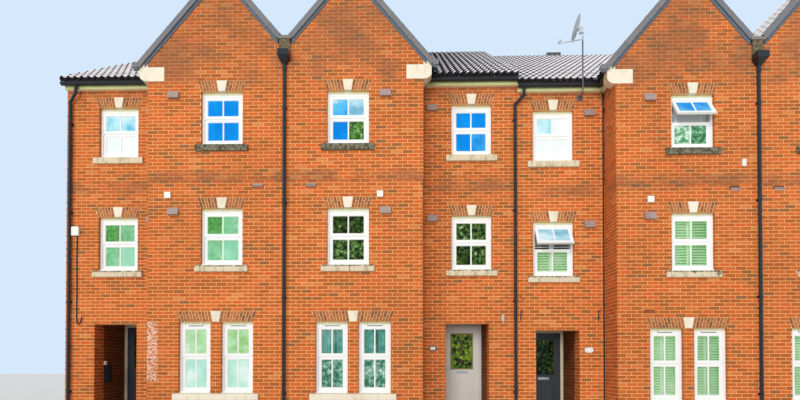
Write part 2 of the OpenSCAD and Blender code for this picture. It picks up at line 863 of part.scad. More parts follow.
// Both gables of a pair from the left house's mirror to the right house
module gable_pair(first, drop, u_limit, y0, y1) {
    low = string_z;
    translate([VALLEY_X[first], 0, LIFT[first]])
        along_y([[-u_limit, low], [u_limit, low], [u_limit, gable_top(u_limit) - drop],
                [apex_u, apex_z - drop], [0, valley_z - drop], [-apex_u, apex_z - drop],
                [-u_limit, gable_top(u_limit) - drop]],
                y0, y1);
}

// Section of the main roof's front slope in (y, z)
function slope_profile() = let(
        fascia_y = main_y - fascia_out + board_t,
        thin = tile_t / cos(main_pitch))
    [[main_eave_y, eave_z], [0, ridge_z], [0, ridge_z - main_t],
     [fascia_y, main_top(fascia_y) - main_t], [fascia_y, main_top(fascia_y) - thin],
     [main_eave_y, eave_z - thin]];

module main_slopes() {
    translate([0, 0, house_step]) along_x(slope_profile(), -row_end_x - verge_over, step_x);
    along_x(slope_profile(), step_x, row_end_x + verge_over);
}

module main_roof_front() {
    color("dimgray")
        difference() {
            main_slopes();
            for (first = [0, 2]) gable_pair(first, gable_t, side_eave_u, 2 * bay_y, 0);
        }
}

module main_roof_rear() {
    color("dimgray") to_rear() main_slopes();
}

module gable_roofs() {
    y0 = upper_y;
    low = kneeler_z;
    under = tile_t / cos(gable_pitch);
    color("dimgray")
        for (first = [0, 2])
            difference() {
                gable_pair(first, 0, side_eave_u, y0, -1);
                gable_pair(first, gable_t, side_eave_u + 1, y0 - 1, 1);
                for (i = [first, first + 1]) house(i)
                    along_y([[boxed_u, low], [side_eave_u + 1, low],
                            [side_eave_u + 1, gable_top(side_eave_u + 1) - under],
                            [boxed_u, gable_top(boxed_u) - under]],
                            y0 - 1, 1);
                translate([0, 0, LIFT[first]]) under_main(0);
            }
}

module half_round(length, r, t) {
    difference() {
        cylinder(h = length, r = r);
        translate([0, 0, -1]) cylinder(h = length + 2, r = r - t);
        translate([-2 * r, -2 * r, -1]) cube([4 * r, 2 * r, length + 2]);
    }
}

// Half-round tiles bedded on the main slopes, from x0 to x1
module main_ridge(x0, x1, lift) {
    reach = 2 * ridge_r;
    difference() {
        translate([x0, 0, ridge_z + lift - ridge_r * tan(main_pitch)])
            rotate([90, 0, 90]) half_round(x1 - x0, ridge_r, ridge_tile_t);
        along_x([[-reach, main_top(reach) + lift + bed], [0, ridge_z + lift + bed],
                [reach, main_top(reach) + lift + bed], [reach, 0], [-reach, 0]], x0 - 1, x1 + 1);
    }
}

// Angle ridge over one gable, bedded on both slopes
module gable_ridge() {
    rise = ridge_tile_t / cos(gable_pitch);
    low = gable_top(apex_u + gable_ridge_w);
    difference() {
        along_y([[apex_u - gable_ridge_w, low], [apex_u, apex_z], [apex_u + gable_ridge_w, low],
                [apex_u + gable_ridge_w, low + rise], [apex_u, apex_z + rise],
                [apex_u - gable_ridge_w, low + rise]],
                upper_y - verge_out, -1);
        under_main(0);
    }
}

// Vent tile with upright sides that straddles the ridge
module ridge_vent() {
    half = ridge_r - ridge_tile_t;
    x = house_w - gable_bay_w + vent_past_bay;
    difference() {
        translate([x, 0, ridge_z])
            box(-ridge_vent_l / 2, ridge_vent_l / 2, -half, half, -ridge_r, ridge_vent_h);
        along_x([[-2 * half, main_top(2 * half) + bed], [0, ridge_z + bed],
                [2 * half, main_top(2 * half) + bed], [2 * half, 0], [-2 * half, 0]],
                x - ridge_vent_l, x + ridge_vent_l);
    }
}

module ridge_tiles() {
    color("black") {
        main_ridge(-row_end_x - verge_over, step_x, house_step);
        main_ridge(step_x, row_end_x + verge_over, 0);
        ridge_vent();
        for (i = HOUSES) house(i) gable_ridge();
    }
}

module verge_band(drop0, drop1, u0, u1, y0, y1) {
    along_y([[u0, gable_top(u0) - drop0], [apex_u, apex_z - drop0], [u1, gable_top(u1) - drop0],
            [u1, gable_top(u1) - drop1], [apex_u, apex_z - drop1], [u0, gable_top(u0) - drop1]],
            y0, y1);
}

module verge_tiles() {
    cap = verge_h / cos(gable_pitch);
    strip = (verge_h + under_verge_h) / cos(gable_pitch);
    valley_end = 147;
    foot_out = 75;
    color("slategray")
        for (i = HOUSES) house(i) {
            verge_band(0, cap, valley_end, side_eave_u, upper_y - verge_out, upper_y);
            verge_band(cap, strip, valley_end, boxed_u, upper_y - 20, upper_y);
            box(side_eave_u, side_eave_u + foot_out, upper_y - verge_out, upper_y,
                gable_top(side_eave_u) - cap, gable_top(side_eave_u));
        }
}

// Lead laid flat between two gables, with a turned-down end over a board above the hopper
module valley_gutters() {
    board = 38;
    rim_h = 67;
    rim_out = 60;
    half = 114;
    rim_half = 146;
    lead_half = (rim_z - valley_z) / tan(gable_pitch);
    meet_y = -(ridge_z - rim_z) / tan(main_pitch);
    start_y = -(ridge_z - valley_z) / tan(main_pitch);
    color("gray")
        for (first = [0, 2])
            translate([VALLEY_X[first], 0, LIFT[first]]) {
                box(-half, half, upper_y - board, upper_y, hopper_z + hopper_h, rim_z - rim_h);
                box(-rim_half, rim_half, upper_y - rim_out, upper_y, rim_z - rim_h, rim_z);
                translate([0, 0, bed])
                    difference() {
                        along_y([[-lead_half, rim_z], [0, valley_z], [lead_half, rim_z]], upper_y, meet_y);
                        along_x([[start_y, valley_z], [0, ridge_z], [0, valley_z]], -far, far);
                    }
            }
}

/* Eaves and rainwater goods */

// Middle of the gutters
gutter_z = soffit_z + 115;

module eaves_run(x0, x1) {
    y = main_y - fascia_out;
    top = main_top(y + board_t) - tile_t / cos(main_pitch);
    box(x0, x1, y, y + board_t, soffit_z, top - 20);
    box(x0, x1, y + board_t, main_y, soffit_z, soffit_z + 10);
}

module eaves_boards() {
    side_u = gable_bay_w + fascia_out;
    color("beige")
        for (i = HOUSES) house(i) {
            eaves_run(side_u, is_end(i) ? house_w + end_margin : seam_u[i]);
            to_rear() eaves_run(0, is_end(i) ? house_w + end_margin : seam_u[i]);
            box(side_u - board_t, side_u, upper_y + kneeler_d, main_eave_y,
                soffit_z, gable_top(side_u) - tile_t / cos(gable_pitch) - 5);
            box(side_u - board_t, side_u, main_eave_y, main_y - fascia_out,
                soffit_z, eave_z - tile_t / cos(main_pitch) - 5);
            box(bay_outer, side_u - board_t, upper_y + kneeler_d, main_y, soffit_z, soffit_z + 10);
        }
}

module gutter(length) {
    rotate([-90, 0, 90]) half_round(length, gutter_r, gutter_t);
    for (x = [0, length - gutter_t])
        translate([-x, 0, 0]) rotate([0, -90, 0])
            linear_extrude(gutter_t) difference() {
                circle(r = gutter_r);
                translate([0, -2 * gutter_r]) square([4 * gutter_r, 4 * gutter_r]);
            }
}

module gutters() {
    y = main_y - fascia_out - gutter_r;
    end_over = 45;
    color("black")
        for (i = HOUSES) house(i) {
            u0 = gable_bay_w + fascia_out;
            u1 = is_end(i) ? house_w + end_margin + end_over : seam_u[i];
            translate([u1, y, gutter_z]) gutter(u1 - u0);
            to_rear() translate([u1, y, gutter_z]) gutter(u1);
            side_y = upper_y + kneeler_d;
            translate([u0 + gutter_r, side_y, gutter_z])
                rotate([0, 0, -90]) gutter(main_y - fascia_out - side_y);
        }
}

// Height of a hopper's funnel, and thickness of its sides
funnel_h = 250;
hopper_t = 8;

module hopper() {
    pipe_y = -pipe_off + oversail;
    difference() {
        union() {
            box(-hopper_w / 2, hopper_w / 2, -hopper_d, 0, 0, hopper_h);
            hull() {
                box(-hopper_w / 2, hopper_w / 2, -hopper_d, 0, -1, 0);
                translate([0, pipe_y, -funnel_h / 2]) cylinder(h = 10, r = socket_r, $fn = 32);
            }
            translate([0, pipe_y, -funnel_h]) cylinder(h = funnel_h / 2 + 1, r = socket_r);
        }
        box(-hopper_w / 2 + hopper_t, hopper_w / 2 - hopper_t, -hopper_d + hopper_t, -hopper_t,
            hopper_t, hopper_h + 1);
    }
}

hopper_z = valley_z - 257 - hopper_h;

module rainwater_hoppers() {
    color("black")
        for (first = [0, 2])
            translate([VALLEY_X[first], upper_y, LIFT[first] + hopper_z]) hopper();
}

// Pipe with a socket and a wall clip every two metres, with shorter clips above step_z
module pipe(z0, z1, step_z = far) {
    socket = 60;
    first_socket = 900;
    socket_gap = 2000;
    for (z = [z0 + first_socket:socket_gap:z1 - 3 * socket]) {
        reach = z > step_z - socket ? pipe_off - oversail : pipe_off;
        translate([0, 0, z]) cylinder(h = socket, r = socket_r);
        box(-pipe_r - 20, pipe_r + 20, reach - 8, reach, z + 10, z + 50);
        box(-12, 12, pipe_r - 2, reach, z + 15, z + 45);
    }
    translate([0, 0, z0]) cylinder(h = z1 - z0, r = pipe_r);
}

// A slanted length between two round elbows, from the pipe's head at the origin to an outlet at (dx, dy)
module swan_neck(dx, dy, z_top, z_bottom) {
    run = sqrt(dx * dx + dy * dy);
    rise = run / tan(neck_angle);
    for (end = [[0, 0, z_bottom], [dx, dy, z_bottom + rise]]) translate(end) sphere(r = socket_r);
    translate([0, 0, z_bottom])
        rotate([0, 0, atan2(dy, dx)]) rotate([0, neck_angle, 0])
            cylinder(h = run / sin(neck_angle), r = pipe_r);
    translate([dx, dy, z_bottom + rise]) cylinder(h = z_top - z_bottom - rise, r = pipe_r);
}

module downpipes() {
    foot = 40;
    gutter_low = gutter_z - gutter_r;
    out_y = -fascia_out - gutter_r + pipe_off;
    neck_h = 330;
    neck_foot = gutter_low - neck_h;
    color("black") {
        for (first = [0, 2])
            translate([VALLEY_X[first], bay_y - pipe_off, 0])
                pipe(foot, hopper_z + LIFT[first] - funnel_h, string_z + LIFT[first]);
        for (i = [0, 3], rear = [0, 1])
            mirror([0, rear, 0])
                translate([SIDE[i] * (row_end_x - end_pipe_in), main_y - pipe_off, 0]) {
                    pipe(foot, neck_foot + LIFT[i]);
                    translate([0, 0, LIFT[i]]) swan_neck(-SIDE[i] * neck_out, out_y, gutter_low, neck_foot);
                }
        for (rear = [0, 1])
            mirror([0, rear, 0])
                translate([mid_pipe_x, main_y - pipe_off, 0]) {
                    pipe(foot, neck_foot);
                    swan_neck(neck_out, out_y, gutter_low, neck_foot);
                }
    }
}

/* Services */

// Each house's vents and box, from its gabled bay's corner, and its air brick, from the valley line
bay_vent_u = [for (d = [541, 780, 684, 684]) gable_bay_w - d];
entrance_vent_u = [for (d = [225, 225, 341, 341]) gable_bay_w + d];
utility_box_u = [for (d = [427, 892, 695, 695]) gable_bay_w - d];
air_brick_u = [575, 553, 453, 445];
vent_w = 235;
vent_h = 160;
vent_z = [head_2 - 70, head_1 - 60];
utility_box_z = head_1 + 275;

module cowl() {
    along_x([[0, -vent_h / 2], [0, vent_h / 2], [-30, vent_h / 2 - 8], [-75, -vent_h / 2 + 25],
            [-75, -vent_h / 2]], -vent_w / 2, vent_w / 2);
}

module wall_vents() {
    color("saddlebrown")
        for (i = HOUSES) house(i) {
            translate([bay_vent_u[i], upper_y, vent_z[0]]) cowl();
            translate([bay_vent_u[i], bay_y, vent_z[1]]) cowl();
            for (z = vent_z) translate([entrance_vent_u[i], main_y, z]) cowl();
            translate([air_brick_u[i], bay_y, string_z - 120])
                box(-107, 107, -6, 0, -32, 32);
        }
}

module utility_boxes() {
    end_box = [165, 70, 200];
    end_box_gap = 48;
    end_box_drop = 420;
    color("white") {
        for (i = HOUSES) house(i)
            translate([utility_box_u[i], bay_y, utility_box_z])
                box(-65, 65, -45, 0, -66, 66);
        house(0)
            translate([house_w + end_margin - end_pipe_in - end_box_gap - end_box[0], main_y - end_box[1],
                       head_1 - end_box_drop])
                cube(end_box);
    }
}

module basket_bracket() {
    bar = 8;
    reach = 220;
    brace_drop = 200;
    brace_l = 250;
    brace_angle = 38;
    box(-bar, bar, -bar, 0, -reach, 0);
    box(-bar, bar, -reach, -bar, -bar, bar);
    translate([0, -bar / 2, -brace_drop]) rotate([brace_angle, 0, 0])
        box(-bar / 2, bar / 2, -bar, 0, 0, brace_l);
}

module basket_brackets() {
    from_party = 157;
    from_bay = 162;
    above_head = 425;
    color("black")
        for (u = [house_w - from_party, gable_bay_w + from_bay]) house(2)
            translate([u, main_y, head_0 + above_head]) basket_bracket();
}

mast_x = house_w - gable_bay_w - mast_from_bay;
mast_y = main_y - fascia_out - 2 * gutter_r - 30;
mast_foot = soffit_z - 120;
mast_top = soffit_z + mast_rise;
mast_r = 16;

module satellite_mast() {
    plate_t = 8;
    plate_w = 120;
    plate_h = 140;
    color("gray")
        translate([mast_x, 0, 0]) {
            translate([0, mast_y, mast_foot]) cylinder(h = mast_top - mast_foot, r = mast_r);
            box(-mast_r, mast_r, mast_y, main_y - plate_t, mast_foot, mast_foot + 2 * mast_r);
            box(-plate_w / 2, plate_w / 2, main_y - plate_t, main_y,
                mast_foot - plate_h / 2, mast_foot + plate_h / 2);
        }
}

dish_r = 275;
dish_bowl = 45;
dish_skin = 4;
// The dish's middle from the mast, and where it faces
dish_back = 95;
dish_up = 290;
dish_turn = 163;
dish_tilt = 70;

function bowl(r) = dish_bowl * r * r / (dish_r * dish_r);

module satellite_dish() {
    steps = 8;
    rim_x = dish_r * cos(dish_tilt) + dish_bowl * sin(dish_tilt);
    rim_z = -dish_r * sin(dish_tilt) + dish_bowl * cos(dish_tilt);
    arm = 290;
    color("lightgray")
        translate([mast_x, mast_y, mast_top + dish_up])
            rotate([0, 0, dish_turn])
                translate([dish_back, 0, 0]) {
                    rotate([0, dish_tilt, 0]) {
                        rotate_extrude()
                            polygon(concat(
                                [for (k = [0:steps]) [dish_r * k / steps, bowl(dish_r * k / steps)]],
                                [for (k = [steps:-1:0])
                                    [dish_r * k / steps, bowl(dish_r * k / steps) - dish_skin]]));
                        translate([0, 0, -60]) cylinder(h = 58, r = 45);
                    }
                    translate([-dish_back, 0, -dish_up]) {
                        cylinder(h = dish_up, r = mast_r + 4);
                        translate([0, 0, dish_up - 60]) box(-30, dish_back - 20, -35, 35, -60, 60);
                    }
                    box(-dish_back, rim_x + arm, -9, 9, rim_z - 22, rim_z - 4);
                    translate([rim_x + arm - 20, 0, rim_z - 4]) rotate([0, -35, 0]) cylinder(h = 75, r = 28);
                }
}

ground_floors();
porch_floors();
upper_floors_and_ceilings();
party_walls();
end_walls();
gable_bay_lower_walls();
gable_bay_upper_walls();
gable_peaks();
gable_bay_side_walls();
entrance_piers();
entrance_upper_walls();
porch_side_walls();
rear_walls();
flat_arches();
keystones();
stone_sills();
kneelers();
window_frames();
window_sashes();
window_glass();
door_frames();
door_hinges();
fixed_doors();
house_1_door();
house_1_door_glass();
house_1_door_furniture();
house_2_door();
house_2_door_glass();
house_2_door_furniture();
house_3_door();
house_3_door_glass();
house_3_door_furniture();
main_roof_front();
main_roof_rear();
gable_roofs();
ridge_tiles();
verge_tiles();
valley_gutters();
eaves_boards();
gutters();
rainwater_hoppers();
downpipes();
wall_vents();
utility_boxes();
basket_brackets();
satellite_mast();
satellite_dish();
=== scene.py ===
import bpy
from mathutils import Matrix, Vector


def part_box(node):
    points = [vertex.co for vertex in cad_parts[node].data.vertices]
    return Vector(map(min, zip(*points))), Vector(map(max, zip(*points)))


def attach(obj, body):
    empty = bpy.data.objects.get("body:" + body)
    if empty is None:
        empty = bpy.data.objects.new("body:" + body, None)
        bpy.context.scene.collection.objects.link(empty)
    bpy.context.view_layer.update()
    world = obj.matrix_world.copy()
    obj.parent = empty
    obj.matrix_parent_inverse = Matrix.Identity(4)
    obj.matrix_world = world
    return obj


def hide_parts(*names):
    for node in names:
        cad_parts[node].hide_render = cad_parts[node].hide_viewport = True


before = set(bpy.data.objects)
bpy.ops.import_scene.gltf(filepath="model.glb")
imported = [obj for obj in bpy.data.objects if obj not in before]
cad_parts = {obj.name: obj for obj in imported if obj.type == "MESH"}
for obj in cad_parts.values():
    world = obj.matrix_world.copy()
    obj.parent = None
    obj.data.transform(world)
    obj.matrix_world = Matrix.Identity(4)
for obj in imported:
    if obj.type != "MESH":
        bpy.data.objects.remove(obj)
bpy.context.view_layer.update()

import math
import random

import bmesh
import bpy
import numpy as np
from mathutils import Vector

# Sizes in metres: u is a distance from a bay's party line
HOUSE_W = 4.92
COURSE = 0.075
BRICK_PITCH = 0.225
JOINT = 0.012
FRONT_Y, LOWER_BAY_Y, UPPER_BAY_Y = -5.4, -6.075, -6.09
MAIN_PITCH = math.radians(33)
GABLE_PITCH = math.radians(49.5)
# Of each house from the left: its bay's party line, the way out from there, how much higher it stands
VALLEY_X = [-HOUSE_W, -HOUSE_W, HOUSE_W, HOUSE_W]
SIDE = [-1, 1, -1, 1]
LIFT = [0.15, 0.15, 0, 0]
STEP_X = 0.085
BAY_U = 2.915
SEEN_HEADS = (2.325, 4.725, 7.2)
STRING_Z = 5.325
PALE_DOOR_X = -1.02
BODY = "building"
rng = random.Random(7)


def rgb(red, green, blue):
    """A colour written as the eye reads it, 0 to 255, in the linear values that shaders take."""
    def linear(v):
        v = v / 255
        return v / 12.92 if v <= 0.04045 else ((v + 0.055) / 1.055) ** 2.4
    return (linear(red), linear(green), linear(blue), 1.0)


# Node materials

class Shade:
    """A node material under construction, all on one Principled shader."""

    def __init__(self, name, **sockets):
        self.material = bpy.data.materials.new(name)
        self.material.use_nodes = True
        self.tree = self.material.node_tree
        self.shader = self.tree.nodes["Principled BSDF"]
        self.coords = self.node("ShaderNodeTexCoord").outputs["Object"]
        self.axes = tuple(self.node("ShaderNodeSeparateXYZ", {0: self.coords}).outputs)
        for key, value in sockets.items():
            self.set(key.replace("_", " "), value)

    def set(self, socket, value):
        self.join(self.shader.inputs[socket], value)

    def join(self, socket, value):
        if isinstance(value, bpy.types.NodeSocket):
            self.tree.links.new(value, socket)
        else:
            socket.default_value = value

    def node(self, kind, inputs=None, **props):
        made = self.tree.nodes.new(kind)
        for key, value in props.items():
            setattr(made, key, value)
        for key, value in (inputs or {}).items():
            self.join(made.inputs[key], value)
        return made

    def math(self, operation, a, b=0.0, clamp=False):
        return self.node("ShaderNodeMath", {0: a, 1: b}, operation=operation, use_clamp=clamp).outputs[0]

    def times(self, *values):
        total = values[0]
        for value in values[1:]:
            total = self.math("MULTIPLY", total, value)
        return total

    def apart(self, a, b):
        """How far apart two values are."""
        return self.math("ABSOLUTE", self.math("SUBTRACT", a, b))

    def vector(self, operation, a, b):
        return self.node("ShaderNodeVectorMath", {0: a, 1: b}, operation=operation).outputs[0]

    def mix(self, amount, a, b, blend="MIX"):
        return self.node("ShaderNodeMix", data_type="RGBA", blend_type=blend,
                         inputs={0: amount, 6: a, 7: b}).outputs[2]

    def stain(self, colour, paint, *amounts):
        """The colour with a paint over it, as strong as all the amounts multiplied."""
        return self.mix(self.times(*amounts), colour, rgb(*paint))

    def noise(self, scale, detail=3.0, rough=0.55, stretch=None):
        at = self.coords if stretch is None else self.vector("MULTIPLY", self.coords, stretch)
        inputs = {"Vector": at, "Scale": scale, "Detail": detail, "Roughness": rough}
        return self.node("ShaderNodeTexNoise", inputs).outputs["Fac"]

    def patches(self, low, high, *noise):
        """Noise cut into patches: 0 where it is below low, 1 above high."""
        return self.between(self.noise(*noise), low, high)

    def ramp(self, amount, *stops, steps=False):
        """Colours of 0 to 255, or plain greys of 0 to 1, at their places along an amount."""
        made = self.node("ShaderNodeValToRGB", {"Fac": amount})
        band = made.color_ramp
        band.interpolation = "CONSTANT" if steps else "LINEAR"
        while len(band.elements) < len(stops):
            band.elements.new(0.5)
        for element, (place, colour) in zip(band.elements, stops):
            element.position = place
            element.color = rgb(*colour) if hasattr(colour, "__len__") else (colour, colour, colour, 1)
        return made.outputs["Color"]

    def between(self, value, low, high):
        """0 below low, 1 above high, smooth between."""
        made = self.node("ShaderNodeMapRange", {"Value": value, "From Min": low, "From Max": high},
                         interpolation_type="SMOOTHSTEP")
        return made.outputs[0]

    def band(self, value, low, high, soft=0.05):
        """1 from low to high, with soft edges outside them."""
        return self.times(self.between(value, low - soft, low), self.between(value, high + soft, high))

    def level(self):
        """Height over each house's own datum: the left pair stands a step higher."""
        left = self.math("LESS_THAN", self.axes[0], STEP_X)
        return self.math("SUBTRACT", self.axes[2], self.math("MULTIPLY", left, LIFT[0]))

    def facing(self, axis):
        """How much a surface faces along an axis, -1 to 1."""
        normal = self.node("ShaderNodeNewGeometry").outputs["Normal"]
        return self.node("ShaderNodeSeparateXYZ", {0: normal}).outputs[axis]

    def tone(self):
        """The mark that each face of a piece carries."""
        return self.node("ShaderNodeAttribute", attribute_name="tone").outputs["Fac"]

    def roughen(self, base, amount, span):
        self.set("Roughness", self.math("ADD", base, self.math("MULTIPLY", amount, span)))

    def done(self, colour, grain, bump, distance=0.002):
        """The finished material, with its colour set and its grain as a bump."""
        self.set("Base Color", colour)
        made = self.node("ShaderNodeBump", {"Height": grain, "Strength": bump, "Distance": distance})
        self.set("Normal", made.outputs[0])
        return self.material


def soiled(shade, colour, dirt, share=0.35, scale=2.0):
    """Colour with soft patches and streaks of dirt."""
    patches = shade.patches(0.45, 0.75, scale, 4.0)
    streaks = shade.patches(0.5, 0.8, 9.0, 3.0, 0.6, (1.0, 1.0, 0.12))
    return shade.stain(colour, dirt, shade.math("ADD", patches, streaks, True), share)


def finish(name, colour, dirt, rough=0.5, share=0.3, spread=0.08, grain=90.0, scale=2.0, bump=0.15,
           **sockets):
    """A weathered plain finish: tone variation, dirt, and a fine grain in roughness and bump."""
    shade = Shade(name, **sockets)
    fine = shade.noise(grain, 3.0)
    tones = [tuple(min(1, c * (1 + way * spread)) for c in rgb(*colour)[:3]) + (1,) for way in (-1, 1)]
    shade.roughen(rough - 0.06, fine, 0.12)
    return shade.done(soiled(shade, shade.mix(fine, *tones), dirt, share, scale), fine, bump)


# Where stains and painted shade lie on the brickwork: heights, distances from a bay's party line, and the
# bloom's own x and z
EAVES_DIRT_AND_SHADE, FOOT_DAMP = (7.2, 7.6), (0.45, 0.0)
PORCH_U, PORCH_Y, PORCH_TOP = (3.42, 4.48), (-4.99, -3.9), 2.76
BLOOM_X, BLOOM_Z = (-7.86, -7.64), (1.25, 2.46)


def weathered(shade, colour):
    """Brickwork's large stains: broad tones, grime over the string course, dirt and painted shadow under the
    eaves, damp at the foot, painted shade deep in the porches, and lime bloom low on the first bay's corner."""
    x, y, z = shade.axes
    level = shade.level()
    broad = shade.ramp(shade.noise(0.55, 3.0), (0.3, 0.9), (0.7, 1.06))
    colour = shade.mix(1.0, colour, broad, "MULTIPLY")
    # Dirt above the string course and damp at the foot; under the eaves the darkening is dirt together with
    # painted shadow of the eaves.
    grime = shade.band(level, STRING_Z, STRING_Z + 0.14, 0.12)
    for limits in (EAVES_DIRT_AND_SHADE, FOOT_DAMP):
        grime = shade.math("MAXIMUM", grime, shade.between(level, *limits))
    colour = shade.stain(colour, (120, 88, 66), grime, shade.patches(0.3, 0.65, 1.7, 4.0), 0.5)
    across = shade.apart(shade.math("ABSOLUTE", x), HOUSE_W)
    # Painted shade deep in the porches: bricks and mortar darken within each porch, below its head.
    colour = shade.stain(colour, (44, 26, 14), shade.band(y, *PORCH_Y, 0.07),
                         shade.between(z, PORCH_TOP, PORCH_TOP - 0.01), shade.band(across, *PORCH_U), 0.65)
    return shade.stain(colour, (244, 226, 212), shade.band(x, *BLOOM_X), shade.band(z, *BLOOM_Z),
                       shade.math("LESS_THAN", y, -5.9),
                       shade.patches(0.42, 0.62, 24.0, 5.0, 0.7, (0.7, 1.0, 1.0)), 0.7)


BRICK_STOPS = (
    (0.0, (134, 88, 54)), (0.03, (146, 88, 48)), (0.1, (168, 84, 36)), (0.4, (188, 93, 40)),
    (0.75, (201, 101, 44)), (0.93, (212, 93, 42)), (1.0, (208, 131, 72)))
ARCH_STOPS = ((0.0, (110, 72, 50)), (0.5, (154, 97, 62)), (1.0, (182, 110, 68)))


def brick_material():
    """Bricks whose tone comes from each brick's own mark, with fired skin and sand grain."""
    shade = Shade("fired_brick", Roughness=0.86, Specular_IOR_Level=0.25)
    fine = shade.noise(160.0, 4.0)
    colour = shade.ramp(shade.tone(), *BRICK_STOPS)
    colour = shade.stain(colour, (150, 78, 38), shade.patches(0.5, 0.8, 14.0, 3.0), 0.3)
    colour = shade.stain(colour, (224, 146, 84), fine, 0.2)
    return shade.done(weathered(shade, colour), fine, 0.5)


def arch_material():
    """Darker rubbed bricks of the flat arches."""
    shade = Shade("arch_brick", Roughness=0.85)
    fine = shade.noise(160.0, 4.0)
    colour = shade.stain(shade.ramp(shade.tone(), *ARCH_STOPS), (206, 140, 96), fine, 0.2)
    return shade.done(weathered(shade, colour), fine, 0.4)


def mortar_material():
    """Sandy mortar outside, and painted plaster on the faces that look into the rooms."""
    shade = Shade("mortar_and_plaster", Roughness=0.93, Specular_IOR_Level=0.2)
    normal = shade.node("ShaderNodeNewGeometry").outputs["Normal"]
    off_face = shade.vector("ADD", shade.coords, shade.vector("MULTIPLY", normal, (0.05, 0.05, 0.05)))
    x, y, z = shade.node("ShaderNodeSeparateXYZ", {0: off_face}).outputs
    away = shade.math("ABSOLUTE", x)
    across = shade.apart(away, HOUSE_W)

    def over(value, limit):
        return shade.math("GREATER_THAN", value, limit)

    def under(value, limit):
        return shade.math("LESS_THAN", value, limit)

    in_house = shade.times(over(y, -5.27), under(y, 5.27), under(away, 9.81))
    in_bay = shade.times(over(y, -5.94), under(y, 0.0), under(across, 2.62))
    in_porch = shade.times(over(across, 3.40), under(y, -4.05), under(z, 2.5))
    indoors = shade.times(shade.math("MAXIMUM", in_house, in_bay), shade.math("SUBTRACT", 1.0, in_porch))
    fine = shade.noise(220.0, 4.0)
    mortar = shade.stain(rgb(248, 192, 128), (214, 146, 84), fine, 0.4)
    plaster = shade.stain(rgb(214, 208, 196), (190, 184, 172), fine, 0.2)
    return shade.done(shade.mix(indoors, weathered(shade, mortar), plaster), fine, 0.4, 0.003)


SILL_FEET = (3.375, 5.925)
# Broken and mossy spots on one first-floor sill, as (x, z, size), and where another sill's two stones meet
SILL_SCARS = ((3.59, 3.5, 0.07), (4.07, 3.46, 0.09))
SPLIT_X = -3.54


def stone_material():
    """Cream cast stone: streaked sills, black with algae on the gabled bays' top ones, and ochre on the
    kneelers' side faces as painted warm light."""
    shade = Shade("cast_stone", Roughness=0.8)
    x, y, z = shade.axes
    level = shade.level()
    fine = shade.noise(140.0, 4.0)
    colour = shade.mix(fine, rgb(232, 222, 198), rgb(243, 233, 211))
    colour = soiled(shade, colour, (184, 172, 132), 0.36, 3.0)
    first, second = (shade.band(level, low, low + 0.15, 0.01) for low in SILL_FEET)
    sill = shade.math("MAXIMUM", first, second)
    streaks = shade.patches(0.5, 0.62, 11.0, 4.0, 0.6, (1.0, 1.0, 0.3))
    specks = shade.patches(0.42, 0.52, 19.0, 4.0, 0.6, (1.0, 1.0, 2.2))
    colour = shade.stain(colour, (216, 200, 166), sill, 0.8)
    colour = shade.stain(colour, (140, 126, 90), sill, streaks, 0.45)
    colour = shade.stain(colour, (74, 66, 44), sill, shade.band(level, 3.488, 3.53, 0.012), specks, 0.85)
    # Painted warm light: faces of the kneelers that face sideways are tinted ochre in patches.
    sides = shade.between(shade.math("ABSOLUTE", shade.facing(0)), 0.3, 0.6)
    colour = shade.stain(colour, (196, 150, 78), sides, shade.between(level, 7.25, 7.3),
                         shade.patches(0.3, 0.55, 9.0, 4.0), 0.75)
    for scar_x, scar_z, size in SILL_SCARS:
        off = shade.math("ADD", shade.apart(x, scar_x), shade.apart(z, scar_z))
        colour = shade.stain(colour, (70, 58, 36), shade.between(off, size, size * 0.6),
                             shade.patches(0.4, 0.5, 30.0, 4.0), 0.9)
    split = shade.band(x, SPLIT_X - 0.005, SPLIT_X + 0.005, 0.004)
    colour = shade.stain(colour, (64, 56, 42), split, first)
    bay_top = shade.times(second, shade.math("LESS_THAN", y, -5.7), 0.95)
    grime = shade.ramp(shade.noise(18.0, 5.0), (0.36, (40, 34, 20)), (0.6, (122, 117, 92)))
    return shade.done(shade.mix(bay_top, colour, grime), fine, 0.3)


def tile_material(name, pan, roll, rough):
    """Concrete tiles coloured between pan and roll by each face's mark: on the pantiles the dark pans and
    butt edges are painted shadow, and the pale rolls are wear with painted light.
    """
    shade = Shade(name, Specular_IOR_Level=0.1)
    fine = shade.noise(120.0, 4.0)
    patchy = shade.math("MULTIPLY", shade.patches(0.25, 0.7, 2.4, 4.0), 0.1)
    worn = shade.times(shade.tone(), shade.math("ADD", 0.9, patchy))
    lichen = shade.patches(0.62, 0.72, 34.0, 5.0)
    shade.roughen(rough, fine, 0.25)
    colour = shade.stain(shade.mix(worn, rgb(*pan), rgb(*roll)), (188, 184, 160), lichen, 0.4)
    return shade.done(colour, fine, 0.25)
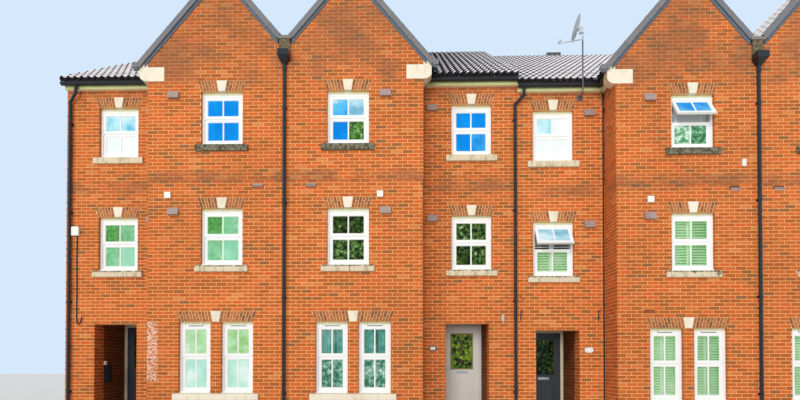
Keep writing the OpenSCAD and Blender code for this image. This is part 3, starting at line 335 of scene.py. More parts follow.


# How glazing looks from outside, the looks being painted reflections of sky, clouds and trees with painted
# glints over
# the tints of what stands behind: dark, middle and light colour, leafy (1) or cloudy (0) mottling, alpha
LOOKS = {
    "clear": ((170, 186, 190), (186, 200, 204), (204, 216, 220), 0, 0.06),
    "sky": ((0, 128, 216), (0, 142, 230), (6, 158, 240), 0, 0.97),
    "lamp": ((0, 128, 214), (60, 170, 236), (206, 250, 254), 0, 0.97),
    "cloud": ((0, 144, 226), (90, 190, 238), (224, 244, 252), 0, 0.96),
    "overcast": ((118, 182, 204), (182, 224, 238), (230, 248, 252), 0, 0.92),
    "pale": ((92, 192, 230), (190, 242, 250), (242, 255, 255), 0, 0.9),
    "milky": ((168, 224, 234), (212, 248, 250), (242, 254, 254), 0, 0.92),
    "white": ((234, 248, 248), (246, 251, 251), (251, 253, 252), 0, 0.92),
    "leaf": ((8, 26, 2), (58, 84, 28), (128, 158, 66), 1, 0.98),
    "glade": ((16, 38, 6), (84, 118, 52), (202, 226, 184), 1, 0.98),
    "tree": ((40, 88, 26), (98, 144, 68), (196, 228, 196), 1, 0.97),
    "birch": ((52, 112, 68), (118, 184, 138), (226, 250, 236), 1, 0.9),
    "bright_birch": ((84, 148, 104), (194, 236, 206), (244, 255, 250), 1, 0.9),
    "green": ((66, 134, 54), (98, 180, 92), (142, 226, 150), 0.7, 0.85),
    "mint": ((104, 182, 116), (140, 214, 162), (180, 244, 208), 0.5, 0.8),
    "light_mint": ((136, 214, 168), (160, 232, 194), (188, 248, 218), 0.3, 0.8),
    "bright_mint": ((140, 200, 106), (190, 234, 186), (244, 255, 250), 0.25, 0.88),
    "milk_mint": ((164, 224, 204), (194, 242, 226), (236, 255, 250), 0.2, 0.88),
    "curtained": ((56, 130, 104), (116, 194, 174), (236, 254, 246), 0.6, 0.3),
    "glinting": ((50, 120, 80), (170, 220, 194), (252, 255, 250), 1, 0.5),
    "shuttered": ((124, 214, 112), (160, 246, 146), (206, 255, 198), 0.2, 0.4),
    "door": ((18, 44, 6), (132, 176, 34), (240, 250, 110), 1, 0.98),
    "rear": ((96, 120, 134), (132, 156, 170), (196, 210, 218), 0, 0.6),
}


def look_mark(name):
    """The tone that a pane's faces carry for a look."""
    return (list(LOOKS).index(name) + 0.5) / len(LOOKS)


def pane_material(fixed=None):
    """Sealed panes whose tint, painted reflections and glints included, comes from each pane's own mark, or
    from one look.
    """
    shade = Shade(f"{fixed}_glazing" if fixed else "glazing", Roughness=0.03, Specular_IOR_Level=0.12)
    mark = look_mark(fixed) if fixed else shade.tone()
    dark, middle, light, leafy, alpha = (
        shade.ramp(mark, *((k / len(LOOKS), look[part]) for k, look in enumerate(LOOKS.values())), steps=True)
        for part in range(5))
    leaves, clouds = shade.noise(10.0, 6.0, 0.7), shade.noise(1.9, 4.0)
    low = shade.mix(leafy, shade.between(clouds, 0.35, 0.56), shade.between(leaves, 0.44, 0.56))
    high = shade.mix(leafy, shade.between(clouds, 0.54, 0.7), shade.between(leaves, 0.57, 0.66))
    shade.set("Base Color", shade.mix(high, shade.mix(low, dark, middle), light))
    # Painted glints: the lightest specks of leafy looks are made more opaque.
    glints = shade.times(high, leafy, 0.8)
    shade.set("Alpha", LOOKS[fixed][4] if fixed else shade.math("MAXIMUM", alpha, glints))
    return shade.material


def frame_material():
    """White window frames, with a thin green film under each head."""
    shade = Shade("white_upvc")
    level = shade.level()
    fine = shade.noise(90.0, 3.0)
    film = 0.0
    for head in SEEN_HEADS:
        film = shade.math("ADD", film, shade.band(level, head - 0.03, head + 0.02, 0.045))
    colour = shade.mix(fine, rgb(238, 240, 236), rgb(250, 251, 248))
    colour = shade.stain(colour, (206, 210, 140), film, shade.patches(0.15, 0.55, 5.0, 4.0), 0.75)
    shade.roughen(0.26, fine, 0.12)
    return shade.done(soiled(shade, colour, (206, 208, 186), 0.12), fine, 0.1)


def door_frame_material():
    """Cream gloss, and a paler one round the pale door."""
    shade = Shade("frame_gloss", Roughness=0.4)
    fine = shade.noise(60.0, 3.0)
    near = shade.between(shade.apart(shade.axes[0], PALE_DOOR_X), 0.62, 0.56)
    cream = shade.mix(fine, rgb(236, 230, 196), rgb(246, 240, 214))
    pale = shade.mix(fine, rgb(240, 237, 228), rgb(248, 246, 240))
    return shade.done(soiled(shade, shade.mix(near, cream, pale), (206, 190, 150), 0.25), fine, 0.1)


def eaves_material():
    """Cream paint, green with algae on the upright boards and clean on their undersides."""
    shade = Shade("cream_paint", Roughness=0.5)
    fine = shade.noise(60.0, 4.0)
    green = shade.mix(fine, rgb(202, 210, 142), rgb(222, 228, 164))
    clean = shade.mix(fine, rgb(255, 246, 200), rgb(255, 252, 214))
    below = shade.between(shade.facing(2), -0.4, -0.8)
    return shade.done(shade.mix(below, soiled(shade, green, (160, 168, 100), 0.5, 1.6), clean), fine, 0.15)


def valley_material():
    """Weathered lead over a mossy timber board."""
    shade = Shade("valley_lead_and_moss")
    fine = shade.noise(40.0, 4.0)
    lead = shade.mix(fine, rgb(104, 98, 90), rgb(148, 141, 130))
    moss = shade.ramp(shade.noise(16.0, 4.0), (0.35, (74, 62, 50)), (0.6, (124, 112, 82)))
    board = shade.times(shade.between(shade.level(), 8.286, 8.282),
                        shade.math("LESS_THAN", shade.axes[1], -6.07))
    shade.roughen(0.55, board, 0.3)
    return shade.done(shade.mix(board, lead, moss), fine, 0.4)


def cloth_material(name, colour, shadow):
    """Woven cloth with a fine thread and soft mottling."""
    shade = Shade(name, Roughness=0.9, Sheen_Weight=0.2)
    warp, weft = (shade.noise(600.0, 1.0, 0.5, way) for way in ((1.0, 1.0, 0.15), (0.15, 0.15, 1.0)))
    mottled = shade.mix(shade.patches(0.3, 0.7, 8.0, 3.0), rgb(*shadow), rgb(*colour))
    return shade.done(mottled, shade.times(warp, weft), 0.3, 0.001)


MATERIALS = {
    "stone": stone_material(),
    # Near black and near white: the pantiles' marks paint shadow into the pans and light onto the rolls.
    "roof_tile": tile_material("pantile", (40, 37, 39), (255, 251, 251), 0.6),
    "verge_tile": tile_material("verge_tile", (98, 110, 122), (146, 136, 128), 0.5),
    "pane": pane_material(),
    "door_pane": pane_material("door"),
    "dark_door_pane": pane_material("leaf"),
    "mortar": mortar_material(),
    "brick": brick_material(),
    "arch": arch_material(),
    "white_frame": frame_material(),
    "valley": valley_material(),
    "white_cloth": cloth_material("white_blind", (250, 250, 246), (236, 238, 234)),
    "teal_cloth": cloth_material("teal_curtain", (108, 208, 194), (70, 164, 156)),
    "blockwork": finish("plastered_block", (206, 200, 188), (170, 160, 146), 0.9, 0.2),
    "concrete": finish("screed", (168, 160, 146), (120, 110, 96), 0.88, 0.4, 0.12, bump=0.4),
    "joinery": finish("floor_boards", (172, 132, 92), (120, 88, 60), 0.7, 0.3, 0.15, 30.0),
    "shutter": finish("white_shutter", (248, 249, 244), (226, 230, 220), 0.35, 0.1, 0.02),
    "cream_frame": door_frame_material(),
    "grey_door": finish("grey_gloss", (66, 74, 80), (48, 52, 56), 0.38, 0.3, 0.08),
    "pale_door": finish("pale_gloss", (250, 247, 238), (232, 227, 212), 0.36, 0.25, 0.02),
    "olive_bead": finish("olive_gloss", (166, 152, 88), (120, 108, 62), 0.4, 0.3, 0.06),
    "door_metal": finish("aged_chrome", (196, 194, 188), (126, 118, 104), 0.25, 0.3, 0.06, Metallic=1.0),
    "lead": finish("old_lead", (120, 122, 124), (88, 78, 60), 0.55, 0.6, 0.15, 20.0, 3.0),
    "garnet": finish("garnet_glass", (92, 22, 24), (40, 10, 16), 0.1, 0.4, 0.1),
    "eaves_paint": eaves_material(),
    "black_plastic": finish("black_upvc", (28, 32, 38), (56, 52, 50), 0.3, 0.3, 0.1),
    "vent_plastic": finish("brown_upvc", (166, 146, 138), (122, 92, 82), 0.5, 0.4, 0.08),
    "clay_vent": finish("clay_vent", (104, 66, 48), (64, 44, 36), 0.85, 0.4, 0.12),
    "copper": finish("old_copper", (214, 138, 72), (96, 58, 34), 0.4, 0.4, 0.12, Metallic=1.0),
    "box_plastic": finish("white_casing", (240, 238, 228), (196, 192, 176), 0.45, 0.3, 0.04),
    "dark_metal": finish("dark_metal", (104, 98, 104), (66, 62, 64), 0.45, 0.4, 0.1, 40.0),
    "grey_metal": finish("galvanised", (196, 204, 210), (140, 146, 148), 0.4, 0.4, 0.1, 40.0),
}


# Shapes

def round_edges(thing, width):
    rounded = thing.modifiers.new("edges", "BEVEL")
    rounded.width = width
    rounded.segments = 2
    rounded.limit_method = "ANGLE"


class Panel:
    """A flat rectangle in an upright or tilted plane, with its own across, up and out."""

    def __init__(self, middle, half_w, half_h, up=(0, 0, 1), out=(0, -1, 0)):
        self.middle, self.up, self.out = Vector(middle), Vector(up), Vector(out)
        self.half_w, self.half_h = half_w, half_h

    def at(self, x, v, out):
        return tuple(self.middle + Vector((x, 0, 0)) + self.up * v + self.out * out)


class Form:
    """Points and faces of one piece under construction."""

    def __init__(self):
        self.points = []
        self.faces = []
        self.tones = []

    def add(self, points, faces, tone=0.5):
        start = len(self.points)
        self.points.extend(points)
        self.faces.extend([start + k for k in face] for face in faces)
        self.tones.extend(tone if hasattr(tone, "__len__") else [tone] * len(faces))

    def loft(self, rings, tone=0.5, closed=False):
        """A skin through rings of equal length, capped at its ends or closed on itself."""
        n = len(rings[0])
        faces = []
        for r in range(len(rings) - (not closed)):
            a, b = r * n, (r + 1) % len(rings) * n
            faces += [[a + k, a + (k + 1) % n, b + (k + 1) % n, b + k] for k in range(n)]
        if not closed:
            last = (len(rings) - 1) * n
            faces += [list(range(n))[::-1], [last + k for k in range(n)]]
        self.add([p for ring in rings for p in ring], faces, tone)

    def prism(self, outline, axis, start, end, tone=0.5):
        """An outline in the two other axes, in their order, run along one axis."""
        def at(pair, place):
            point = list(pair)
            point.insert(axis, place)
            return tuple(point)
        self.loft([[at(p, start) for p in outline], [at(p, end) for p in outline]], tone)

    def box(self, low, high):
        outline = [(low[0], low[1]), (high[0], low[1]), (high[0], high[1]), (low[0], high[1])]
        self.prism(outline, 2, low[2], high[2])

    def tube(self, path, radius, sides=10):
        """A round bar along a path."""
        rings = []
        for k, point in enumerate(path):
            point = Vector(point)
            before = Vector(path[max(k - 1, 0)])
            after = Vector(path[min(k + 1, len(path) - 1)])
            way = (after - before).normalized()
            across = way.cross(Vector((0, 0, 1)) if abs(way.z) < 0.9 else Vector((0, 1, 0))).normalized()
            over = across.cross(way)
            rings.append([tuple(point + radius * (math.cos(a) * across + math.sin(a) * over))
                          for a in (2 * math.pi * s / sides for s in range(sides))])
        self.loft(rings)

    def moulding(self, panel, outline):
        """A mitred frame round a panel's edge, from an outline of (inwards, outwards) pairs."""
        self.loft([[panel.at(x * (panel.half_w - inset), v * (panel.half_h - inset), out)
                    for inset, out in outline] for x, v in ((-1, -1), (1, -1), (1, 1), (-1, 1))], closed=True)

    def cloth(self, columns, rows, place):
        """A single sheet of columns by rows, where place gives each point from two shares of 0 to 1."""
        points = [place(c / columns, r / rows) for r in range(rows + 1) for c in range(columns + 1)]
        wide = columns + 1
        self.add(points, [[r * wide + c, r * wide + c + 1, (r + 1) * wide + c + 1, (r + 1) * wide + c]
                          for r in range(rows) for c in range(columns)])

    def piece(self, name, material, slot, body=BODY, smooth=False, bevel=0.0, thick=0.0):
        mesh = bpy.data.meshes.new(name)
        mesh.from_pydata(self.points, [], self.faces)
        mesh.attributes.new("tone", "FLOAT", "FACE").data.foreach_set("value", self.tones)
        work = bmesh.new()
        work.from_mesh(mesh)
        bmesh.ops.recalc_face_normals(work, faces=work.faces)
        work.to_mesh(mesh)
        work.free()
        mesh.materials.append(material)
        made = bpy.data.objects.new(name, mesh)
        bpy.context.scene.collection.objects.link(made)
        if smooth:
            mesh.shade_smooth()
            mesh.set_sharp_from_angle(angle=math.radians(35))
        if bevel:
            round_edges(made, bevel)
        if thick:
            made.modifiers.new("thickness", "SOLIDIFY").thickness = thick
        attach(made, body)
        return made


def node_parts(node):
    """The loose solids of a CAD node, as arrays of points."""
    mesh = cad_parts[node].data
    keys = [tuple(round(c, 4) for c in v.co) for v in mesh.vertices]
    root = {key: key for key in keys}

    def find(key):
        while root[key] != key:
            root[key] = root[root[key]]
            key = root[key]
        return key

    for polygon in mesh.polygons:
        first = find(keys[polygon.vertices[0]])
        for index in polygon.vertices[1:]:
            root[find(keys[index])] = first
    groups = {}
    for key in root:
        groups.setdefault(find(key), []).append(key)
    return [np.array(group) for _, group in sorted(groups.items())]


FRAMES = [(p.min(0), p.max(0)) for p in node_parts("window_frames")]
PORCH_X = [(p[:, 0].min() + p[:, 0].max()) / 2 for p in node_parts("door_frames")]
PORCH_HALF = 0.4775
DOOR_Y = -4.1


# Brickwork

BRICK_NODES = ["gable_bay_lower_walls", "gable_bay_upper_walls", "gable_peaks", "gable_bay_side_walls",
               "entrance_piers", "entrance_upper_walls", "porch_side_walls", "end_walls", "rear_walls"]
BRICK_PROUD = 0.003
REVEAL = 0.074


def upright_faces():
    """All brick nodes' upright faces, as {(axis, facing, place): [triangles of (along, up)]}."""
    planes = {}
    for node in BRICK_NODES:
        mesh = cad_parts[node].data
        mesh.calc_loop_triangles()
        points = np.array([v.co for v in mesh.vertices])
        for triangle in mesh.loop_triangles:
            for axis in (0, 1):
                if abs(triangle.normal[axis]) > 0.99:
                    corners = points[list(triangle.vertices)]
                    facing = 1 if triangle.normal[axis] > 0 else -1
                    key = (axis, facing, round(float(corners[0, axis]), 3))
                    planes.setdefault(key, []).append(corners[:, [1 - axis, 2]].tolist())
    return planes


def spans_at(triangles, z):
    """Where a level line at z crosses the triangles, merged."""
    cuts = []
    for triangle in triangles:
        crossing = []
        for k in range(3):
            (a, za), (b, zb) = triangle[k], triangle[(k + 1) % 3]
            if (za - z) * (zb - z) < 0:
                crossing.append(a + (b - a) * (z - za) / (zb - za))
        if len(crossing) == 2:
            cuts.append(sorted(crossing))
    merged = []
    for start, end in sorted(cuts):
        if merged and start <= merged[-1][1] + 0.001:
            merged[-1][1] = max(merged[-1][1], end)
        else:
            merged.append([start, end])
    return merged


def brick_plan(axis, facing, place):
    """How a plane shows its bricks: whole, return, porch or reveal, or None where it is hidden."""
    if axis == 1:
        seen = (FRONT_Y, LOWER_BAY_Y, UPPER_BAY_Y, -FRONT_Y)
        return "whole" if any(abs(place - y) < 0.002 and facing * y > 0 for y in seen) else None
    if abs(place) > ROW_END - 0.05:
        return "whole"
    for middle in PORCH_X:
        if abs(abs(place - middle) - PORCH_HALF) < 0.003 and facing * (middle - place) > 0:
            return "porch"
    for low, high in FRAMES:
        if abs(place - low[0]) < 0.002 and facing > 0 or abs(place - high[0]) < 0.002 and facing < 0:
            return "reveal"
    from_valley = place - math.copysign(HOUSE_W, place)
    at_corner = abs(abs(from_valley) - BAY_U) < 0.015
    return "return" if at_corner and facing * from_valley > 0 else None


def trim(span, plan):
    """The part of a span that a plan shows."""
    start, end = span
    if plan == "return":
        end = min(end, FRONT_Y)
    elif plan == "porch":
        start, end = max(start, FRONT_Y), min(end, DOOR_Y - 0.001)
    elif plan == "reveal":
        start, end = (start, start + REVEAL) if start < 0 else (end - REVEAL, end)
    return (start, end) if end - start > 0.02 else None


def clip_side(outline, limit, sign):
    """The part of an outline where sign * (along - limit) is over 0."""
    kept = []
    for k, here in enumerate(outline):
        after = outline[(k + 1) % len(outline)]
        inside, next_inside = sign * (here[0] - limit) >= 0, sign * (after[0] - limit) >= 0
        if inside:
            kept.append(here)
        if inside != next_inside:
            share = (limit - here[0]) / (after[0] - here[0])
            kept.append((limit, here[1] + share * (after[1] - here[1])))
    return kept


def outline_area(outline):
    return 0.5 * abs(sum(a[0] * b[1] - b[0] * a[1] for a, b in zip(outline, outline[1:] + outline[:1])))


def lay_course(form, axis, facing, place, outline, row, anchor):
    """One course inside an outline whose lower and upper edges are level."""
    start = min(p[0] for p in outline)
    end = max(p[0] for p in outline)
    first = anchor + (row % 2) * BRICK_PITCH / 2
    cell = math.floor((start - first) / BRICK_PITCH)
    while first + cell * BRICK_PITCH < end:
        left = first + cell * BRICK_PITCH + JOINT / 2
        brick = clip_side(clip_side(outline, left, 1), left + BRICK_PITCH - JOINT, -1)
        cell += 1
        if len(brick) < 3 or outline_area(brick) < 0.0008:
            continue
        face = place + facing * (BRICK_PROUD + rng.uniform(-0.0008, 0.0008))
        form.prism(brick, axis, place - facing * 0.001, face, rng.random())


def lay_plane(form, key, triangles, plan):
    axis, facing, place = key
    heights = [p[1] for t in triangles for p in t]
    anchor = min(p[0] for t in triangles for p in t)
    for row in range(math.floor(min(heights) / COURSE), math.ceil(max(heights) / COURSE)):
        low, high = row * COURSE + JOINT / 2, (row + 1) * COURSE - JOINT / 2
        upper = [trim(s, plan) for s in spans_at(triangles, high)]
        for span in spans_at(triangles, low):
            span = trim(span, plan)
            if not span:
                continue
            for over in filter(None, upper):
                starts, ends = (span[0], over[0]), (span[1], over[1])
                if max(starts) >= min(ends):
                    continue
                if abs(starts[0] - starts[1]) > COURSE:
                    starts = (max(starts),) * 2
                if abs(ends[0] - ends[1]) > COURSE:
                    ends = (min(ends),) * 2
                outline = [(starts[0], low), (ends[0], low), (ends[1], high), (starts[1], high)]
                lay_course(form, axis, facing, place, outline, row, anchor)


def brickwork():
    walls = {f"{side}_bricks": Form() for side in ("front", "rear", "left_side", "right_side")}
    for key, triangles in sorted(upright_faces().items()):
        plan = brick_plan(*key)
        if plan:
            axis, facing, place = key
            side = (("right_side", "left_side"), ("rear", "front"))[axis][facing < 0]
            lay_plane(walls[f"{side}_bricks"], key, triangles, plan)
    for name, form in walls.items():
        form.piece(name, MATERIALS["brick"], "brick")


# Flat arches

ARCH_H = 0.225
ARCH_SPLAY = 0.075
ARCH_FACE = 0.007
ARCH_GAP = 0.006
VOUSSOIR = 0.064
KEY_PROUD = 0.02
KEY_FOOT, KEY_TOP = 0.0735, 0.113


def voussoirs(form, middle, head, face, facing, inner, outer):
    """Slanted arch bricks from one (foot, top) distance from the middle to another."""
    count = round(abs(outer[0] - inner[0]) / VOUSSOIR)
    way = math.copysign(1, outer[0] - inner[0])

    def edge(k, gap, share):
        foot, top = (inner[end] + (outer[end] - inner[end]) * k / count for end in (0, 1))
        return middle + foot + (top - foot) * share + gap * way

    for k in range(count):
        split = 0.64 if k % 2 else 0.34
        for low, high in ((0.02, split - 0.02), (split + 0.02, 0.98)):
            corners = [(edge(k, ARCH_GAP, low), low), (edge(k + 1, -ARCH_GAP, low), low),
                       (edge(k + 1, -ARCH_GAP, high), high), (edge(k, ARCH_GAP, high), high)]
            form.prism([(x, head + share * ARCH_H) for x, share in corners],
                       1, face, face + facing * ARCH_FACE, rng.random())

def arches():
    form = Form()
    for points in node_parts("keystones"):
        low, high = points.min(0), points.max(0)
        middle, head, face = (low[0] + high[0]) / 2, low[2], low[1] + KEY_PROUD
        edges = [x for a, b in FRAMES for x in (a[0], b[0])
                 if abs(b[2] - head) < 0.01 and abs(a[1] - face) < 0.1 and abs(x - middle) < 1.0]
        half = (max(edges) - min(edges)) / 2
        for side in (-1, 1):
            voussoirs(form, middle, head, face, -1, (KEY_FOOT * side, KEY_TOP * side),
                      (half * side, (half + ARCH_SPLAY) * side))
    for points in node_parts("flat_arches"):
        low, high = points.min(0), points.max(0)
        if low[1] > 0:
            half = (high[0] - low[0]) / 2
            voussoirs(form, (low[0] + high[0]) / 2, low[2], high[1] - 0.004, 1,
                      (ARCH_SPLAY - half, -half), (half - ARCH_SPLAY, half))
    form.piece("arch_bricks", MATERIALS["arch"], "brick")


# Roof

TILE_PITCH = 0.150
GAUGE = 0.380
TILE_STEP = 0.025
TILE_BED = 0.006
# One roll and one pan across a pitch, as (share of the pitch, height, how pale the face after it is, from
# wear and painted light)
PANTILE = ((0.0, -0.002, 0.1), (0.1, 0.006, 0.6), (0.2, 0.022, 1.0), (0.31, 0.037, 1.0), (0.42, 0.042, 1.0),
           (0.52, 0.034, 1.0), (0.62, 0.014, 0.8), (0.72, 0.0, 0.15), (0.86, -0.003, 0.0))
ROW_END = 10.04
EAVE_Y, EAVE_Z, RIDGE_Z = -5.6, 7.76, 11.3967
APEX_U, APEX_Z, VALLEY_Z = 1.372, 9.8466, 8.2402
LEAD_W = 0.12
SIDE_EAVE_U = 3.137
VALLEY_MARGIN = 0.045


def turned(vector, towards):
    """The vector or its opposite, whichever points more the way of another."""
    return -vector if vector.dot(towards) < 0 else vector


def tile_sheet(form, corner, along, slope, length, run, over=0.0, relief=1.0, clips=(), holes=()):
    """Lapped pantiles on a slope from its lower corner: clips keep what is in front of a plane, holes drop
    what is behind all of their planes."""
    corner, along, slope = Vector(corner), Vector(along), Vector(slope)
    normal = along.cross(slope)
    out = turned(normal, Vector((0, 0, 1)))
    places = [((k + share) * TILE_PITCH, rise, wear_and_light) for k in range(math.ceil(length / TILE_PITCH))
              for share, rise, wear_and_light in PANTILE if (k + share) * TILE_PITCH < length]
    places.append((length, PANTILE[0][1], 0.0))
    rows = [(-over + 0.06, None), (-over, -1.0)]
    for j in range(math.ceil((run + over) / GAUGE)):
        low, high = j * GAUGE - over, min((j + 1) * GAUGE - over, run)
        rows += [(low, 1.0), (high, 1.0 - (high - low) / GAUGE)]
    n = len(places)
    work = bmesh.new()
    worn = work.faces.layers.float.new("worn")
    verts = []
    for t, lap in rows:
        for s, rise, _ in places:
            height = TILE_BED - 0.004 if lap is None else TILE_BED + relief * (lap * TILE_STEP + rise)
            verts.append(work.verts.new(corner + along * s + slope * t + out * height))
    for r in range(len(rows) - 1):
        # Butt faces between courses get no mark, so the pan's dark colour as painted shadow; laid faces get a
        # random share of the pale roll colour, wear with painted light.
        wear_and_light = rng.uniform(0.88, 1.0) if r and r % 2 == 0 else 0.0
        for k in range(n - 1):
            here, above = r * n + k, (r + 1) * n + k
            quad = [verts[here], verts[here + 1], verts[above + 1], verts[above]]
            face = work.faces.new(quad[::-1] if normal.z < 0 else quad)
            face[worn] = wear_and_light * places[k][2]

    def cut(place, normal, clear=False):
        everything = list(work.verts) + list(work.edges) + list(work.faces)
        bmesh.ops.bisect_plane(work, geom=everything, plane_co=place, plane_no=normal, clear_inner=clear)

    for place, normal in clips:
        cut(place, normal, True)
    for planes in holes:
        for place, normal in planes:
            cut(place, normal)
        behind = [f for f in work.faces if all(
            (f.calc_center_median() - place).dot(normal) < 0 for place, normal in planes)]
        bmesh.ops.delete(work, geom=behind, context="FACES")
    work.verts.index_update()
    form.add([tuple(v.co) for v in work.verts], [[v.index for v in f.verts] for f in work.faces],
             [f[worn] for f in work.faces])
    work.free()


def gable_planes(i, margin):
    """The two slopes of one gable as (point, outward normal), raised by margin."""
    apex = Vector((VALLEY_X[i] + SIDE[i] * APEX_U, 0, APEX_Z + LIFT[i]))
    normals = [Vector((side * math.sin(GABLE_PITCH), 0, math.cos(GABLE_PITCH))) for side in (-1, 1)]
    return [(apex + margin * normal, normal) for normal in normals]


def main_plane(lift, margin):
    normal = Vector((0, -math.sin(MAIN_PITCH), math.cos(MAIN_PITCH)))
    return Vector((0, EAVE_Y, EAVE_Z + lift)) + margin * normal, normal


def roof_tiles():
    up_front = (0, math.cos(MAIN_PITCH), math.sin(MAIN_PITCH))
    up_rear = (0, -math.cos(MAIN_PITCH), math.sin(MAIN_PITCH))
    run = -EAVE_Y / math.cos(MAIN_PITCH) - 0.065
    front, rear, gables = Form(), Form(), Form()
    for start, end, lift, houses in ((-ROW_END, STEP_X, LIFT[0], (0, 1)), (STEP_X, ROW_END, LIFT[2], (2, 3))):
        holes = [gable_planes(i, VALLEY_MARGIN) for i in houses]
        foot = EAVE_Z + lift
        tile_sheet(front, (start, EAVE_Y, foot), (1, 0, 0), up_front, end - start, run, 0.03, holes=holes)
        tile_sheet(rear, (start, -EAVE_Y, foot), (1, 0, 0), up_rear, end - start, run, -0.03)
    for i in range(4):
        clip = [main_plane(LIFT[i], VALLEY_MARGIN)]
        for away, foot_u, skip, over in ((SIDE[i], SIDE_EAVE_U, 0.0, 0.02), (-SIDE[i], 0.0, 0.17, 0.0)):
            foot_z = APEX_Z + LIFT[i] - abs(APEX_U - foot_u) * math.tan(GABLE_PITCH)
            up = Vector((-away * math.cos(GABLE_PITCH), 0, math.sin(GABLE_PITCH)))
            reach = abs(APEX_U - foot_u) / math.cos(GABLE_PITCH) - 0.05
            corner = Vector((VALLEY_X[i] + SIDE[i] * foot_u, UPPER_BAY_Y, foot_z)) + skip * up
            tile_sheet(gables, corner, (0, 1, 0), up, 4.0, reach - skip, over, 0.5, clips=clip)
    for name, form in (("main_front_tiles", front), ("main_rear_tiles", rear), ("gable_tiles", gables)):
        form.piece(name, MATERIALS["roof_tile"], "roof_tile", smooth=True)


def valley_leads():
    """Lead laid in the valleys between each gable and the main roof."""
    form = Form()
    for i in range(4):
        main_normal = main_plane(LIFT[i], 0.0)[1]
        for (at, normal), outer in zip(gable_planes(i, 0.0), (SIDE[i] < 0, SIDE[i] > 0)):
            line = turned(main_normal.cross(normal).normalized(), Vector((0, 0, 1)))
            drop = (APEX_Z - EAVE_Z) if outer else (APEX_Z - VALLEY_Z - 0.1)
            apex = Vector((at.x, -(RIDGE_Z - APEX_Z) / math.tan(MAIN_PITCH), APEX_Z + LIFT[i]))
            foot = apex - line * (drop / line.z)
            wings = [turned(main_normal.cross(line).normalized(), normal) * LEAD_W, Vector((0, 0, 0)),
                     turned(normal.cross(line).normalized(), main_normal) * LEAD_W]
            lead = [wing + Vector((0, 0, z)) for z, ways in ((0.010, wings), (0.002, wings[::-1]))
                    for wing in ways]
            form.loft([[tuple(end + p) for p in lead] for end in (foot, apex)])
    form.piece("valley_leads", MATERIALS["lead"], "lead")


RIDGE_VENT_X = 2.297
RIDGE_VENT_L = 0.44
RIDGE_TILE_L = 0.45


def half_ring(centre, radius, thick=0.018):
    """A half-round tile's outline over a centre, as (across, up) pairs."""
    turns = [math.pi * k / 14 for k in range(15)]
    return [(size * math.cos(a), centre + size * math.sin(a))
            for size, way in ((radius, turns), (radius - thick, turns[::-1])) for a in way]


def ridge_pieces():
    """Half-round tiles on the main ridges and angle tiles on the gables, each lapped by a collar, and the
    ridge vent."""
    form = Form()
    for start, end, lift in ((-ROW_END, STEP_X, LIFT[0]), (STEP_X, ROW_END, LIFT[2])):
        count = round((end - start) / RIDGE_TILE_L)
        step = (end - start) / count
        centre = RIDGE_Z + lift - 0.0714
        for x in (start + k * step for k in range(count)):
            form.prism(half_ring(centre, 0.1095), 0, x + 0.002, x + 0.07)
            form.prism(half_ring(centre, 0.104), 0, x + 0.072, x + step)
    for i in range(4):
        x, z = VALLEY_X[i] + SIDE[i] * APEX_U, APEX_Z + LIFT[i]
        start = UPPER_BAY_Y - 0.045
        length = -(RIDGE_Z - APEX_Z) / math.tan(MAIN_PITCH) - start
        count = round(length / RIDGE_TILE_L)
        half, fall = 0.095, 0.095 * math.tan(GABLE_PITCH)
        for k in range(count):
            lift = 0.0 if k % 2 else 0.002
            over = [(-half, 0.02 - fall), (-0.02, 0.002), (0, 0.022), (0.02, 0.002), (half, 0.02 - fall)]
            under = [(x + half, z - fall), (x, z), (x - half, z - fall)]
            outline = [(x + dx, z + dz + lift) for dx, dz in over] + under
            form.prism(outline, 1, start + k * length / count, start + (k + 1) * length / count - 0.003)
    low, high = RIDGE_VENT_X - RIDGE_VENT_L / 2, RIDGE_VENT_X + RIDGE_VENT_L / 2
    for z in (RIDGE_Z - 0.02 + k * 0.024 for k in range(5)):
        for side in (-1, 1):
            blade = [(0.070, z), (0.092, z - 0.008), (0.092, z - 0.002), (0.070, z + 0.016)]
            form.prism([(side * y, up) for y, up in blade], 0, low + 0.012, high - 0.012)
    hood = [(-0.092, 0.098), (-0.05, 0.119), (0.05, 0.119), (0.092, 0.098), (0.07, 0.09), (-0.07, 0.09)]
    form.prism([(y, RIDGE_Z + z) for y, z in hood], 0, low, high)
    form.box((low + 0.01, -0.069, RIDGE_Z - 0.06), (high - 0.01, 0.069, RIDGE_Z + 0.092))
    for x in (low, high - 0.012):
        form.box((x, -0.09, RIDGE_Z - 0.05), (x + 0.012, 0.09, RIDGE_Z + 0.1))
    made = form.piece("ridge_pieces", MATERIALS["verge_tile"], "roof_tile", smooth=True)
    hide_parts("ridge_tiles")


# Windows

GLASS_OUT = 0.012
SASH_OUT = 0.025
SASH_W = 0.055
HORN_H = 0.04
LETTERS = ("AB", "DC", "EF", "HG")
# What each window's glass shows as painted reflections: one look, or upper and lower, or all four quarters by
# rows from the top left
GLASS = {
    "A2": ("pale", "white"), "B2": ("sky",), "C2": ("cloud", "overcast", "sky", "tree"),
    "D2": ("sky", "sky", "sky", "lamp"), "E2": ("milky", "white", "white", "white"),
    "F2": ("cloud", "cloud", "bright_birch", "birch"), "G2": ("sky",), "H2": ("sky",),
    "A1": ("green", "mint", "mint", "light_mint"), "B1": ("green", "mint", "mint", "light_mint"),
    "C1": ("leaf", "leaf", "glade", "glade"), "D1": ("glade", "glade", "leaf", "glade"),
    "E1": ("overcast", "shuttered"), "F1": ("shuttered",), "G1": ("mint",), "H1": ("leaf",),
    "B0": ("bright_mint", "milk_mint"), "C0": ("curtained", "glinting"), "F0": ("shuttered",),
    "G0": ("shuttered",)}
BEHIND = {"A2": "roller", "E2": "roller", "F2": "slats", "A1": "slats", "B1": "slats", "B0": "slats",
          "G1": "slats", "C0": "curtains", "E1": "shutters", "F1": "shutters", "F0": "shutters",
          "G0": "shutters"}


